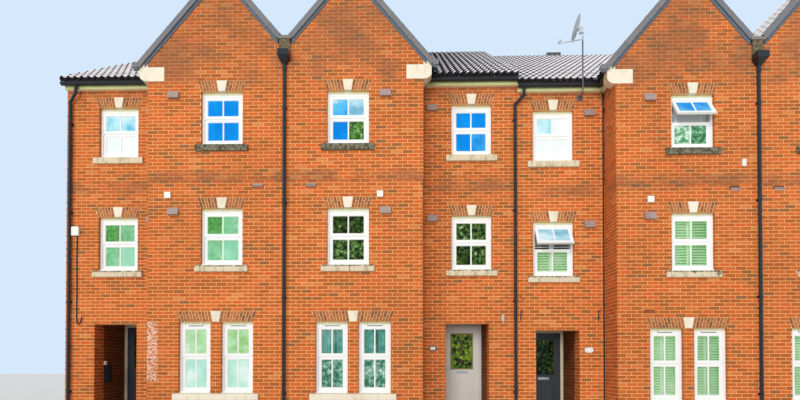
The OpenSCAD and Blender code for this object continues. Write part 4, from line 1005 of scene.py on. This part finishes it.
class Pane(Panel):
    """One sealed pane, also where its sash stands open."""

    def __init__(self, points):
        middle = points.mean(0)
        first, *rest = [Vector((0, y, z)) for y, z in sorted({(y, z) for x, y, z in points.tolist()})]
        thin, tall, _ = sorted((spot - first for spot in rest), key=lambda edge: edge.length)
        up = tall.normalized() * math.copysign(1, tall.z)
        out = thin.normalized() * math.copysign(1, thin.y * middle[1])
        super().__init__(middle, np.ptp(points[:, 0]) / 2, tall.length / 2, up, out)


PANES = [Pane(points) for points in node_parts("window_glass")]


class Window:
    """A window's frame, its two panes and its name: its upright row's letter, and its storey."""

    def __init__(self, low, high):
        self.low, self.high = low, high
        self.middle = (low[0] + high[0]) / 2
        self.front = low[1] < 0
        self.inward = 1 if self.front else -1
        self.back = high[1] if self.front else low[1]
        self.skin = self.back - self.inward * 0.07
        house = int((self.middle + 2 * HOUSE_W) // HOUSE_W)
        level = high[2] - LIFT[house]
        storey = min(range(3), key=lambda k: abs(SEEN_HEADS[k] - level))
        bay = abs(self.middle - VALLEY_X[house]) < BAY_U
        self.name = f"{LETTERS[house][int(bay)]}{storey}" if self.front else "rear"
        self.lower, self.upper = sorted(
            (p for p in PANES if abs(p.middle.x - self.middle) < 0.1 and p.middle.y * low[1] > 0
             and low[2] < p.middle.z < high[2]), key=lambda p: p.middle.z)

    def looks(self):
        """The looks of upper left, upper right, lower left and lower right."""
        given = GLASS.get(self.name, ("rear",))
        return [look for look in given for _ in range(4 // len(given))]


WINDOWS = [Window(low, high) for low, high in FRAMES]


def panes():
    """Each pane in one piece, whose outer halves beside its bar carry their own look."""
    form, clear = Form(), look_mark("clear")
    for window in WINDOWS:
        looks = [look_mark(name) for name in window.looks()]
        for pane, (left, right) in ((window.upper, looks[:2]), (window.lower, looks[2:])):
            points = [pane.at(x * pane.half_w, v * pane.half_h, o * GLASS_OUT)
                      for o in (-1, 1) for v in (-1, 1) for x in (-1, 0, 1)]
            halves = [[k, k + 1, k + 4, k + 3] for k in (0, 1, 6, 7)]
            rims = [[k, k + 1, k + 7, k + 6] for k in (0, 1, 3, 4)] + [[0, 3, 9, 6], [2, 5, 11, 8]]
            form.add(points, halves + rims, [clear, clear, left, right] + [clear] * 6)
    made = form.piece("window_panes", MATERIALS["pane"], "pane")
    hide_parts("window_glass")


def sash_joinery():
    """Glazing bars and beads on both faces, and horns under the upper sashes."""
    bars, beads, horns = Form(), Form(), Form()
    bar = [(-0.017, 0.010), (-0.017, 0.014), (-0.010, 0.024), (0.010, 0.024), (0.017, 0.014), (0.017, 0.010)]
    bead = [(-0.001, 0.011), (0.015, 0.011), (0.012, 0.015), (0.002, 0.0245), (-0.001, 0.0245)]
    for window in WINDOWS:
        for pane in (window.upper, window.lower):
            for side in (-1, 1):
                bars.loft([[pane.at(x, v * pane.half_h, side * out) for x, out in bar] for v in (-1, 1)])
                beads.moulding(pane, [(inset, side * out) for inset, out in bead])
        upper = window.upper
        rail = -upper.half_h - SASH_W
        for side in (-1, 1):
            stile = upper.half_w + SASH_W
            curve = [(stile - 0.012 - 0.036 * (1 - math.cos(a)), rail - 0.036 * (1 - math.sin(a)))
                     for a in (math.pi / 2 * k / 6 for k in range(7))]
            outline = [(stile, rail), (stile, rail - HORN_H)] + curve
            horns.loft([[upper.at(side * x, v, out) for x, v in outline] for out in (0.011, SASH_OUT)])
    white = MATERIALS["white_frame"]
    bars.piece("glazing_bars", white, "white_frame")
    beads.piece("glazing_beads", white, "white_frame")
    horns.piece("sash_horns", white, "white_frame", bevel=0.001)


def trickle_vents():
    """A hooded vent on the head of each ground-floor window, with its dark slot below and beside it."""
    form, slots = Form(), Form()
    hood = [(0.004, 0.0), (-0.012, -0.004), (-0.014, -0.028), (-0.008, -0.034), (-0.008, -0.044),
            (0.004, -0.046)]
    gaps = ((-0.15, 0.15, -0.0465, 0.003), (-0.158, -0.1525, -0.002, 0.002), (0.1525, 0.158, -0.002, 0.002))
    for window in WINDOWS:
        if window.name[-1] != "0":
            continue
        middle, face, head = window.middle, window.skin, window.high[2] - 0.03
        form.prism([(face + y, head + z) for y, z in hood], 0, middle - 0.145, middle + 0.145)
        for x in (middle - 0.152, middle + 0.138):
            form.box((x, face - 0.016, head - 0.047), (x + 0.014, face + 0.004, head))
        for start, end, top, out in gaps:
            slots.box((middle + start, face - out, head - 0.058), (middle + end, face + 0.002, head + top))
    form.piece("trickle_vents", MATERIALS["white_frame"], "white_frame", bevel=0.0015)
    slots.piece("trickle_vent_slots", MATERIALS["black_plastic"], "black_plastic")


def stays():
    """Steel arms that hold the open top-hung sashes out from their frames."""
    form = Form()
    for window in WINDOWS:
        sash = window.upper
        if abs(sash.up.y) < 0.05:
            continue
        for side in (-1, 1):
            x = window.middle + side * (sash.half_w + SASH_W - 0.004)
            foot = sash.at(0, -sash.half_h * 0.55, -0.018)
            pivot = Vector((x, window.skin + window.inward * 0.02, foot[2] - 0.1))
            tip = Vector((x, foot[1], foot[2]))
            form.tube([pivot, pivot.lerp(tip, 0.5), tip], 0.005, 8)
    form.piece("sash_stays", MATERIALS["grey_metal"], "grey_metal", smooth=True)


def behind(kind):
    """The windows that have one kind of blind, each with its light opening's left, right, foot and head."""
    for window in WINDOWS:
        if BEHIND.get(window.name) == kind:
            low, high = window.low, window.high
            yield window, low[0] + 0.012, high[0] - 0.012, low[2] + 0.045, high[2] - 0.012


LOUVRE_PITCH, LOUVRE_W, LOUVRE_T = 0.056, 0.063, 0.0045
STILE, RAIL, PANEL_T = 0.045, 0.075, 0.028
SLAT_PITCH = 0.043


def shutters():
    """Pairs of louvred panels inside the frames."""
    form = Form()
    tilt = math.radians(42)
    for window, x0, x1, z0, z1 in behind("shutters"):
        y = window.back + 0.04
        half = (x1 - x0) / 2
        for start in (x0, x0 + half + 0.002):
            end = start + half - 0.002
            for low, high in ((start, start + STILE), (end - STILE, end)):
                form.box((low, y, z0), (high, y + PANEL_T, z1))
            for low, high in ((z0, z0 + RAIL), (z1 - RAIL, z1)):
                form.box((start + STILE, y + 0.003, low), (end - STILE, y + PANEL_T - 0.003, high))
            count = int((z1 - z0 - 2 * RAIL) / LOUVRE_PITCH)
            for k in range(count):
                z = z0 + RAIL + (k + 0.5) * (z1 - z0 - 2 * RAIL) / count
                outline = []
                for a in (math.pi * step / 5 for step in range(10)):
                    along, over = LOUVRE_W / 2 * math.cos(a), LOUVRE_T * math.sin(a)
                    outline.append((y + PANEL_T / 2 + along * math.cos(tilt) - over * math.sin(tilt),
                                    z + along * math.sin(tilt) + over * math.cos(tilt)))
                form.prism(outline, 0, start + STILE, end - STILE)
    form.piece("shutters", MATERIALS["shutter"], "white_frame", smooth=True)


def slats():
    """Venetian blinds, nearly closed, on their ladder tapes under a head box."""
    form = Form()
    tilt = math.radians(76)
    half_y, half_z = 0.025 * math.cos(tilt), 0.025 * math.sin(tilt)
    slat = [(-half_y, -half_z), (-0.003, 0.002), (half_y, half_z), (-0.001, 0.001)]
    for window, x0, x1, z0, z1 in behind("slats"):
        y = window.back + 0.05
        form.box((x0, y - 0.025, z1 - 0.05), (x1, y + 0.03, z1))
        form.box((x0, y - 0.02, z0), (x1, y + 0.02, z0 + 0.018))
        for z in (z0 + 0.04 + k * SLAT_PITCH for k in range(int((z1 - z0 - 0.08) / SLAT_PITCH))):
            form.prism([(y + dy, z + dz) for dy, dz in slat], 0, x0 + 0.004, x1 - 0.004)
        for share in (0.2, 0.8):
            x = x0 + (x1 - x0) * share
            form.box((x - 0.009, y - 0.0245, z0 + 0.01), (x + 0.009, y - 0.0235, z1 - 0.04))
    form.piece("slatted_blinds", MATERIALS["shutter"], "white_frame")


def rollers():
    """Roller blinds, drawn down to a bar at their hem."""
    fittings = Form()
    hung = []
    for window, x0, x1, z0, z1 in behind("roller"):
        y = window.back + 0.06
        fittings.tube([(x0, y, z1 - 0.03), (x1, y, z1 - 0.03)], 0.02, 14)
        fittings.tube([(x0 + 0.006, y - 0.02, z0 + 0.012), (x1 - 0.006, y - 0.02, z0 + 0.012)], 0.009, 10)
        width, length = x1 - x0 - 0.03, z1 - z0 - 0.04

        def place(c, r, x0=x0, y=y, z1=z1, width=width, length=length):
            bow = 0.004 * math.sin(math.pi * r) * math.cos(2.4 * c) + 0.002 * math.sin(9 * c) * r
            return (x0 + 0.015 + c * width, y - 0.02 + bow, z1 - 0.03 - r * length)

        form = Form()
        form.cloth(16, 24, place)
        made = form.piece(f"roller_blind_{window.name}", MATERIALS["white_cloth"], "white_frame",
                          smooth=True, thick=0.0015)
        hung.append((made, width, length))
    fittings.piece("roller_blind_fittings", MATERIALS["box_plastic"], "box_plastic", smooth=True)
    for made, width, length in hung:
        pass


CURTAIN_Y = 0.085
FOLD = 0.062
FOLD_DEPTH = 0.019


def curtain(name, x0, x1, z0, z1, y, material):
    """A gathered curtain whose folds open a little and wander towards its hem."""
    turns = (x1 - x0) / FOLD
    start = rng.uniform(0, 2)

    def place(c, r):
        phase = 2 * math.pi * (turns * c + start) + 0.5 * math.sin(3 * r + 7 * c)
        depth = FOLD_DEPTH * (0.75 + 0.35 * r) * (0.8 + 0.2 * math.sin(11 * c + start))
        sway = 0.008 * r * math.sin(5 * c + 4 * r)
        return (x0 + (x1 - x0) * c + sway, y + depth * math.sin(phase), z1 + (z0 - z1) * r)

    form = Form()
    form.cloth(round(turns * 12), 20, place)
    made = form.piece(name, material, "white_frame", smooth=True, thick=0.0015)


def curtains():
    """Gathered curtains on rails: a teal pair in each window of one bay, and single pale drapes."""
    rails = Form()
    teal, white = MATERIALS["teal_cloth"], MATERIALS["white_cloth"]
    for window in WINDOWS:
        if window.name not in ("C0", "B2", "A1"):
            continue
        y, left, right = window.back + CURTAIN_Y, window.low[0], window.high[0]
        rail, foot = window.high[2] + 0.02, window.low[2] - 0.1
        top = rail - 0.01
        rails.tube([(left - 0.04, y, rail), (right + 0.04, y, rail)], 0.009, 10)
        if window.name == "C0":
            on_left = window.middle < VALLEY_X[1] + 1.4
            side, share, gap = ("left", 0.56, 0.03) if on_left else ("right", 0.42, 0.12)
            split = left + share * (right - left)
            curtain(f"curtain_{side}_1", left - 0.02, split, foot, top, y, teal)
            curtain(f"curtain_{side}_2", split + gap, right + 0.02, foot, top, y, teal)
        else:
            curtain(f"drape_{window.name}", left - 0.02, left + 0.24, foot, top, y, white)
    rails.piece("curtain_rails", MATERIALS["grey_metal"], "grey_metal", smooth=True)


# Doors

DOOR_FACE = -4.074
LIGHT_Z = (1.319, 2.159)
PANEL_Z = (0.491, 1.104)
PANEL_U, PANEL_HALF = 0.145, 0.105


def door_trims():
    """Beads round the glass and the raised panels of the doors, and one door's leaded light."""
    for number, paint, bead in ((1, "grey_door", "grey_door"), (2, "pale_door", "olive_bead"),
                                (3, "grey_door", "grey_door")):
        low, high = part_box(f"house_{number}_door")
        middle, base, body = (low[0] + high[0]) / 2, LIFT[number - 1], f"front_door_{number}"
        back = DOOR_FACE + 0.044
        light_z = (sum(LIGHT_Z) / 2 + base, (LIGHT_Z[1] - LIGHT_Z[0]) / 2)
        beads, panels = Form(), Form()
        for y, out in ((DOOR_FACE, -1), (back, 1)):
            light_panel = Panel((middle, y, light_z[0]), 0.255, light_z[1], out=(0, out, 0))
            beads.moulding(light_panel, [(-0.022, 0.0), (-0.020, 0.008), (-0.008, 0.014), (0.006, 0.011),
                                         (0.014, -0.008), (0.0, -0.008), (0.0, 0.0)])
            for side in (-1, 1):
                panel = Panel((middle + side * PANEL_U, y, sum(PANEL_Z) / 2 + base), PANEL_HALF,
                              (PANEL_Z[1] - PANEL_Z[0]) / 2, out=(0, out, 0))
                panels.moulding(panel, [(-0.012, 0.0), (-0.009, 0.005), (-0.002, 0.006), (0.004, 0.0)])
        beads.piece(f"house_{number}_light_beads", MATERIALS[bead], paint, body, smooth=True)
        panels.piece(f"house_{number}_panel_mouldings", MATERIALS[paint], paint, body, smooth=True)
        if number == 2:
            leaded_light(middle, light_z[0], body)


def leaded_light(middle, height, body):
    """Curved cames with a chain of small lozenges down the middle of one door's glass."""
    cames, stones = Form(), Form()
    y = DOOR_FACE + 0.008

    def line(x, z0, z1, bow):
        return [(middle + x + bow * math.sin(math.pi * k / 16), y, height + z0 + (z1 - z0) * k / 16)
                for k in range(17)]

    for side in (-1, 1):
        cames.tube(line(side * 0.14, -0.42, 0.42, side * 0.05), 0.0035, 6)
        cames.tube(line(side * 0.03, -0.42, 0.42, side * 0.075), 0.0035, 6)
    for z in (-0.24, -0.08, 0.08, 0.24):
        cames.tube([(middle - 0.255, y, height + z), (middle + 0.255, y, height + z)], 0.003, 6)
        outline = [(middle, height + z - 0.06), (middle + 0.034, height + z), (middle, height + z + 0.06),
                   (middle - 0.034, height + z)]
        stones.prism(outline, 1, y - 0.003, y + 0.002)
        cames.tube([(x, y - 0.002, v) for x, v in outline + outline[:1]], 0.003, 6)
    cames.piece("house_2_light_cames", MATERIALS["lead"], "door_metal", body, smooth=True)
    stones.piece("house_2_light_lozenges", MATERIALS["garnet"], "pane", body, bevel=0.001)


# Roof edges and rainwater fittings

VERGE_FACE = -6.135
VERGE_DROP = 0.085
CAP_L = 0.33


def verge_caps():
    """Lapped caps over the gables' verges, each a little wider at its foot, with a block end at the eaves."""
    form = Form()
    foot_out = -VERGE_DROP - 0.004
    outline = [(foot_out, -0.0005), (foot_out, -0.009), (-VERGE_DROP + 0.008, -0.012), (-0.030, -0.008),
               (0.008, -0.010), (0.024, -0.002), (0.033, 0.016), (0.036, 0.040), (0.036, 0.110),
               (0.026, 0.110), (0.024, 0.028), (0.012, -0.0005)]
    for i, side in enumerate(SIDE):
        apex = Vector((VALLEY_X[i] + side * APEX_U, 0, APEX_Z + LIFT[i]))
        for away, foot_u in ((side, SIDE_EAVE_U), (-side, 0.12)):
            down = Vector((away * math.cos(GABLE_PITCH), 0, -math.sin(GABLE_PITCH)))
            over = Vector((away * math.sin(GABLE_PITCH), 0, math.cos(GABLE_PITCH)))
            reach = abs(APEX_U - foot_u) / math.cos(GABLE_PITCH) - 0.03
            count = round(reach / CAP_L)
            step = reach / count
            for k in range(count):
                rings = []
                for share, grow in ((0.0, 1.0), (0.9, 1.0), (0.92, 1.08), (1.06, 1.10)):
                    at = apex + down * (0.03 + (k + share) * step) + Vector((0, VERGE_FACE - 0.0005, 0))
                    bulge = 0.002 if grow > 1 else 0.0
                    grown = [(n * grow, y * grow - bulge if y < 0 else y) for n, y in outline]
                    rings.append([tuple(at + over * n + Vector((0, y, 0))) for n, y in grown])
                form.loft(rings, 0.35 + 0.3 * rng.random())
        foot = VALLEY_X[i] + side * SIDE_EAVE_U
        top = APEX_Z + LIFT[i] - (SIDE_EAVE_U - APEX_U) * math.tan(GABLE_PITCH)
        block = [(foot + side * u, top + z) for u, z in (
            (-0.04, 0.034), (0.09, 0.030), (0.105, 0.012), (0.105, -0.070), (0.09, -0.085), (-0.015, -0.085))]
        form.prism(block, 1, VERGE_FACE - 0.016, VERGE_FACE - 0.0005)
        form.prism(block[:4], 1, VERGE_FACE - 0.0004, VERGE_FACE + 0.09)
    form.piece("verge_caps", MATERIALS["verge_tile"], "roof_tile", bevel=0.002)


GUTTER_Y, GUTTER_Z, GUTTER_R = 5.5585, 7.690, 0.0585
BRACKET_STEP = 0.9


def gutter_brackets():
    """Half-round straps under the gutters."""
    form = Form()
    for points in node_parts("gutters"):
        low, high = points.min(0), points.max(0)
        if high[0] - low[0] < 0.6:
            continue
        y = math.copysign(GUTTER_Y, low[1])
        z = GUTTER_Z + (LIFT[0] if high[0] <= STEP_X + 0.01 else 0)
        span = high[0] - low[0] - 0.2
        count = math.ceil(span / BRACKET_STEP)
        strap = [(-0.014, GUTTER_R), (0.014, GUTTER_R), (0.014, GUTTER_R + 0.003), (-0.014, GUTTER_R + 0.003)]
        for x in (low[0] + 0.1 + k * span / count for k in range(count + 1)):
            form.loft([[(x + dx, y + r * math.cos(a), z + r * math.sin(a)) for dx, r in strap]
                       for a in (math.radians(205 + 130 * step / 12) for step in range(13))])
    form.piece("gutter_brackets", MATERIALS["black_plastic"], "black_plastic")


# Small fittings on the walls, by where they stand on the faces that carry them

AIR_BRICKS = [(-5.478, 5.321), (-4.354, 5.334), (4.437, 5.238), (5.331, 5.238), (2.674, 2.674)]
COPPER_HOOKS = [(-0.14, 3.05), (0.18, 3.03)]
PLAQUES = {"pale_plaque": (-1.778, 1.931, 0.079, 0.060), "oval_plaque": (1.644, 1.890, 0.098, 0.062)}
CORNER_PIPE = (1.972, -5.418, 7.55)
# Paths on the front wall as (x, distance out from it, z): a copper hook's from its own spot, then two others
HOOK_PATH = [(-0.07, 0.004, 0.06), (-0.02, 0.008, 0.05), (0, 0.05, -0.02), (0.03, 0.09, -0.03),
             (0.05, 0.1, 0)]
WALL_HOOK_PATH = [(-0.235, 0.006, 2.66), (-0.235, 0.03, 2.62), (-0.24, 0.06, 2.54), (-0.245, 0.05, 2.47),
                  (-0.25, 0.02, 2.45)]
CABLE_PATH = [(-9.745, 0.018, 4.46), (-9.75, 0.018, 3.9), (-9.742, 0.018, 3.2), (-9.744, 0.018, 2.62),
              (-9.736, 0.022, 2.54), (-9.712, 0.028, 2.485), (-9.674, 0.030, 2.475), (-9.642, 0.032, 2.51),
              (-9.628, 0.032, 2.58), (-9.622, 0.032, 2.63)]
METER_BOX = [(-5.01, 1.15), (-4.82, 1.15), (-4.82, 1.53), (-4.85, 1.56), (-4.98, 1.56), (-5.01, 1.53)]
SENSOR = [(4.57, 5.665), (4.65, 5.665), (4.65, 5.80), (4.64, 5.815), (4.58, 5.815), (4.57, 5.80)]


def air_bricks():
    """Clay air bricks, each a frame with two rows of upright slots."""
    form = Form()
    face = LOWER_BAY_Y
    for x, z in AIR_BRICKS:
        grille = Panel((x, face - BRICK_PROUD, z), 0.1065, 0.0325)
        form.moulding(grille, [(0.0, -0.002), (0.0, 0.003), (0.007, 0.003), (0.009, -0.002)])
        form.box((x - 0.1, face - 0.0005, z - 0.026), (x + 0.1, face, z + 0.026))
        form.box((x - 0.1, face - 0.004, z - 0.003), (x + 0.1, face - 0.0004, z + 0.003))
        for bar in (x - 0.095 + k * 0.019 for k in range(11)):
            form.box((bar - 0.003, face - 0.004, z - 0.026), (bar + 0.003, face - 0.0005, z + 0.026))
    form.piece("air_bricks", MATERIALS["clay_vent"], "brick")


def rounded(cx, cz, half_w, half_h, power, count=40):
    """A superellipse about a middle."""
    def bend(v):
        return math.copysign(abs(v) ** (2 / power), v)
    return [(cx + half_w * bend(math.cos(a)), cz + half_h * bend(math.sin(a)))
            for a in (2 * math.pi * k / count for k in range(count))]


def plaques():
    """Two bare plates beside the porches, each with a raised rim."""
    for name, (x, z, half_w, half_h) in PLAQUES.items():
        power, depth = (6, 0.026) if name == "pale_plaque" else (2.6, 0.012)
        plate, rim = Form(), Form()
        plate.prism(rounded(x, z, half_w - 0.008, half_h - 0.008, power), 1, FRONT_Y - 0.009, FRONT_Y - 0.003)
        outer = rounded(x, z, half_w, half_h, power)
        inner = rounded(x, z, half_w - depth, half_h - depth, power)
        rim.loft([[(a, FRONT_Y - 0.003, b), (a, FRONT_Y - 0.012, b), (c, FRONT_Y - 0.013, d),
                   (c, FRONT_Y - 0.004, d)] for (a, b), (c, d) in zip(outer, inner)], closed=True)
        plate.piece(name, MATERIALS["box_plastic"], "box_plastic", bevel=0.001)
        rim.piece(f"{name}_rim", MATERIALS["dark_metal" if power == 6 else "grey_metal"], "box_plastic")


def on_front(path, x=0, z=0):
    """A path's points about a spot of the front wall."""
    return [(x + dx, FRONT_Y - out, z + dz) for dx, out, dz in path]


def wall_fittings():
    """Hooks, a cable, a pipe in a bay's corner, a sensor and the boxes in the first porch."""
    copper, metal, black, white = Form(), Form(), Form(), Form()
    for x, z in COPPER_HOOKS:
        copper.tube(on_front(HOOK_PATH, x, z), 0.006, 8)
        copper.prism(rounded(x - 0.045, z + 0.055, 0.04, 0.024, 2.4, 20), 1, FRONT_Y - 0.007, FRONT_Y - 0.003)
    metal.tube(on_front(WALL_HOOK_PATH), 0.009, 8)
    metal.prism(rounded(-0.235, 2.6, 0.03, 0.07, 3, 20), 1, FRONT_Y - 0.01, FRONT_Y - 0.003)
    black.tube(on_front(CABLE_PATH), 0.012, 10)
    x, y, top = CORNER_PIPE
    black.tube([(x, y, top), (x, y, 4.0), (x, y, 0.02)], 0.0145, 12)
    for z in (0.5 + k * 0.95 for k in range(8)):
        black.tube([(x, y, z - 0.012), (x, y, z + 0.012)], 0.0175, 12)
    black.box((1.958, -5.47, 7.125), (2.0, -5.42, 7.209))
    wall = PORCH_X[0] - PORCH_HALF + BRICK_PROUD
    black.prism(METER_BOX, 0, wall, wall + 0.08)
    white.box((wall, -5.03, 1.565), (wall + 0.047, -4.96, 1.65))
    white.prism(SENSOR, 1, UPPER_BAY_Y - 0.05, UPPER_BAY_Y - 0.003)
    copper.piece("copper_hooks", MATERIALS["copper"], "door_metal", smooth=True)
    metal.piece("wall_hooks", MATERIALS["grey_metal"], "grey_metal", smooth=True)
    black.piece("pipe_cable_and_meter_box", MATERIALS["black_plastic"], "black_plastic", smooth=True,
                bevel=0.0015)
    white.piece("sensor_and_switch_box", MATERIALS["box_plastic"], "box_plastic", bevel=0.003)


# Stage, light and camera

FLOOR_HALF = 60
ROOM_LIGHT = 0.52
# Each lamp's name, strength, turn and spread in degrees
SUNS = (("key", 0.88, (60, 0, -38), 12), ("front_fill", 1.48, (84, 0, -8), 26),
        ("rear_fill", 1.7, (58, 0, 152), 30))
def stage():
    floor = bpy.data.meshes.new("floor")
    corners = [(x * FLOOR_HALF, y * FLOOR_HALF, 0) for x, y in ((-1, -1), (1, -1), (1, 1), (-1, 1))]
    floor.from_pydata(corners, [], [(0, 1, 2, 3)])
    made = bpy.data.objects.new("floor", floor)
    bpy.context.scene.collection.objects.link(made)
    shade = Shade("pale_floor", Roughness=0.9)
    shade.set("Base Color", shade.mix(shade.noise(0.8), rgb(214, 213, 210), rgb(222, 221, 218)))
    floor.materials.append(shade.material)


def light():
    """Three soft suns and a dim pale room, behind which camera, mirrors and glass see a plain sky."""
    world = bpy.data.worlds.new("studio")
    bpy.context.scene.world = world
    world.use_nodes = True
    nodes, link = world.node_tree.nodes, world.node_tree.links.new
    room, sky = nodes["Background"], nodes.new("ShaderNodeBackground")
    room.inputs["Color"].default_value = (0.93, 0.96, 1.0, 1.0)
    room.inputs["Strength"].default_value = ROOM_LIGHT
    sky.inputs["Color"].default_value = rgb(214, 233, 252)
    path = nodes.new("ShaderNodeLightPath")
    seen = path.outputs["Is Camera Ray"]
    for ray in ("Is Glossy Ray", "Is Transmission Ray"):
        either = nodes.new("ShaderNodeMath")
        either.operation = "MAXIMUM"
        link(seen, either.inputs[0])
        link(path.outputs[ray], either.inputs[1])
        seen = either.outputs[0]
    mix = nodes.new("ShaderNodeMixShader")
    for place, value in enumerate((seen, room.outputs[0], sky.outputs[0])):
        link(value, mix.inputs[place])
    link(mix.outputs[0], nodes["World Output"].inputs["Surface"])
    for name, strength, turn, spread in SUNS:
        lamp = bpy.data.lights.new(name, "SUN")
        lamp.energy = strength
        lamp.angle = math.radians(spread)
        made = bpy.data.objects.new(name, lamp)
        made.rotation_euler = [math.radians(a) for a in turn]
        made.visible_glossy = False
        bpy.context.scene.collection.objects.link(made)


def camera():
    """The photograph's station, level but for a slight tilt, with the lens shifted up."""
    data = bpy.data.cameras.new("camera")
    data.lens = 24.72
    data.sensor_width = 36.0
    data.shift_x = 0.0014
    data.shift_y = 0.193
    data.clip_end = 500
    made = bpy.data.objects.new("camera", data)
    made.location = (-2.272, -17.540, 1.616)
    made.rotation_euler = (math.radians(90) + 0.01484, 0, 0.02111)
    bpy.context.scene.collection.objects.link(made)
    bpy.context.scene.camera = made


# Finishes that are not called after the CAD slot, by node, and the nodes whose edges have each rounded width
NODE_FINISH = {"verge_tiles": "verge_tile", "valley_gutters": "valley", "satellite_mast": "dark_metal",
               "house_1_door_glass": "dark_door_pane", "house_2_door_glass": "door_pane",
               "house_3_door_glass": "dark_door_pane"}
EDGE_NODES = {
    0.0015: ("basket_brackets",), 0.002: ("fixed_doors", "house_1_door", "house_2_door", "house_3_door"),
    0.003: ("window_frames", "window_sashes", "eaves_boards", "verge_tiles"),
    0.004: ("keystones", "door_frames", "rainwater_hoppers"), 0.005: ("wall_vents", "valley_gutters"),
    0.006: ("stone_sills", "utility_boxes"), 0.008: ("kneelers",)}


def dress_frame():
    """Gives every CAD node its material, and rounds the edges that catch light."""
    for name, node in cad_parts.items():
        for slot in node.material_slots:
            base = NODE_FINISH.get(name, slot.material.name.split(".")[0])
            slot.material = MATERIALS["mortar" if base == "brick" else base]
    for width, names in EDGE_NODES.items():
        for node in (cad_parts[name] for name in names):
            node.modifiers.new("joined", "WELD").merge_threshold = 0.0001
            round_edges(node, width)


bpy.context.scene.view_settings.view_transform = "Standard"
camera()
light()
stage()
dress_frame()
brickwork()
arches()
roof_tiles()
valley_leads()
ridge_pieces()
verge_caps()
gutter_brackets()
panes()
sash_joinery()
trickle_vents()
stays()
shutters()
slats()
rollers()
curtains()
door_trims()
air_bricks()
plaques()
wall_fittings()
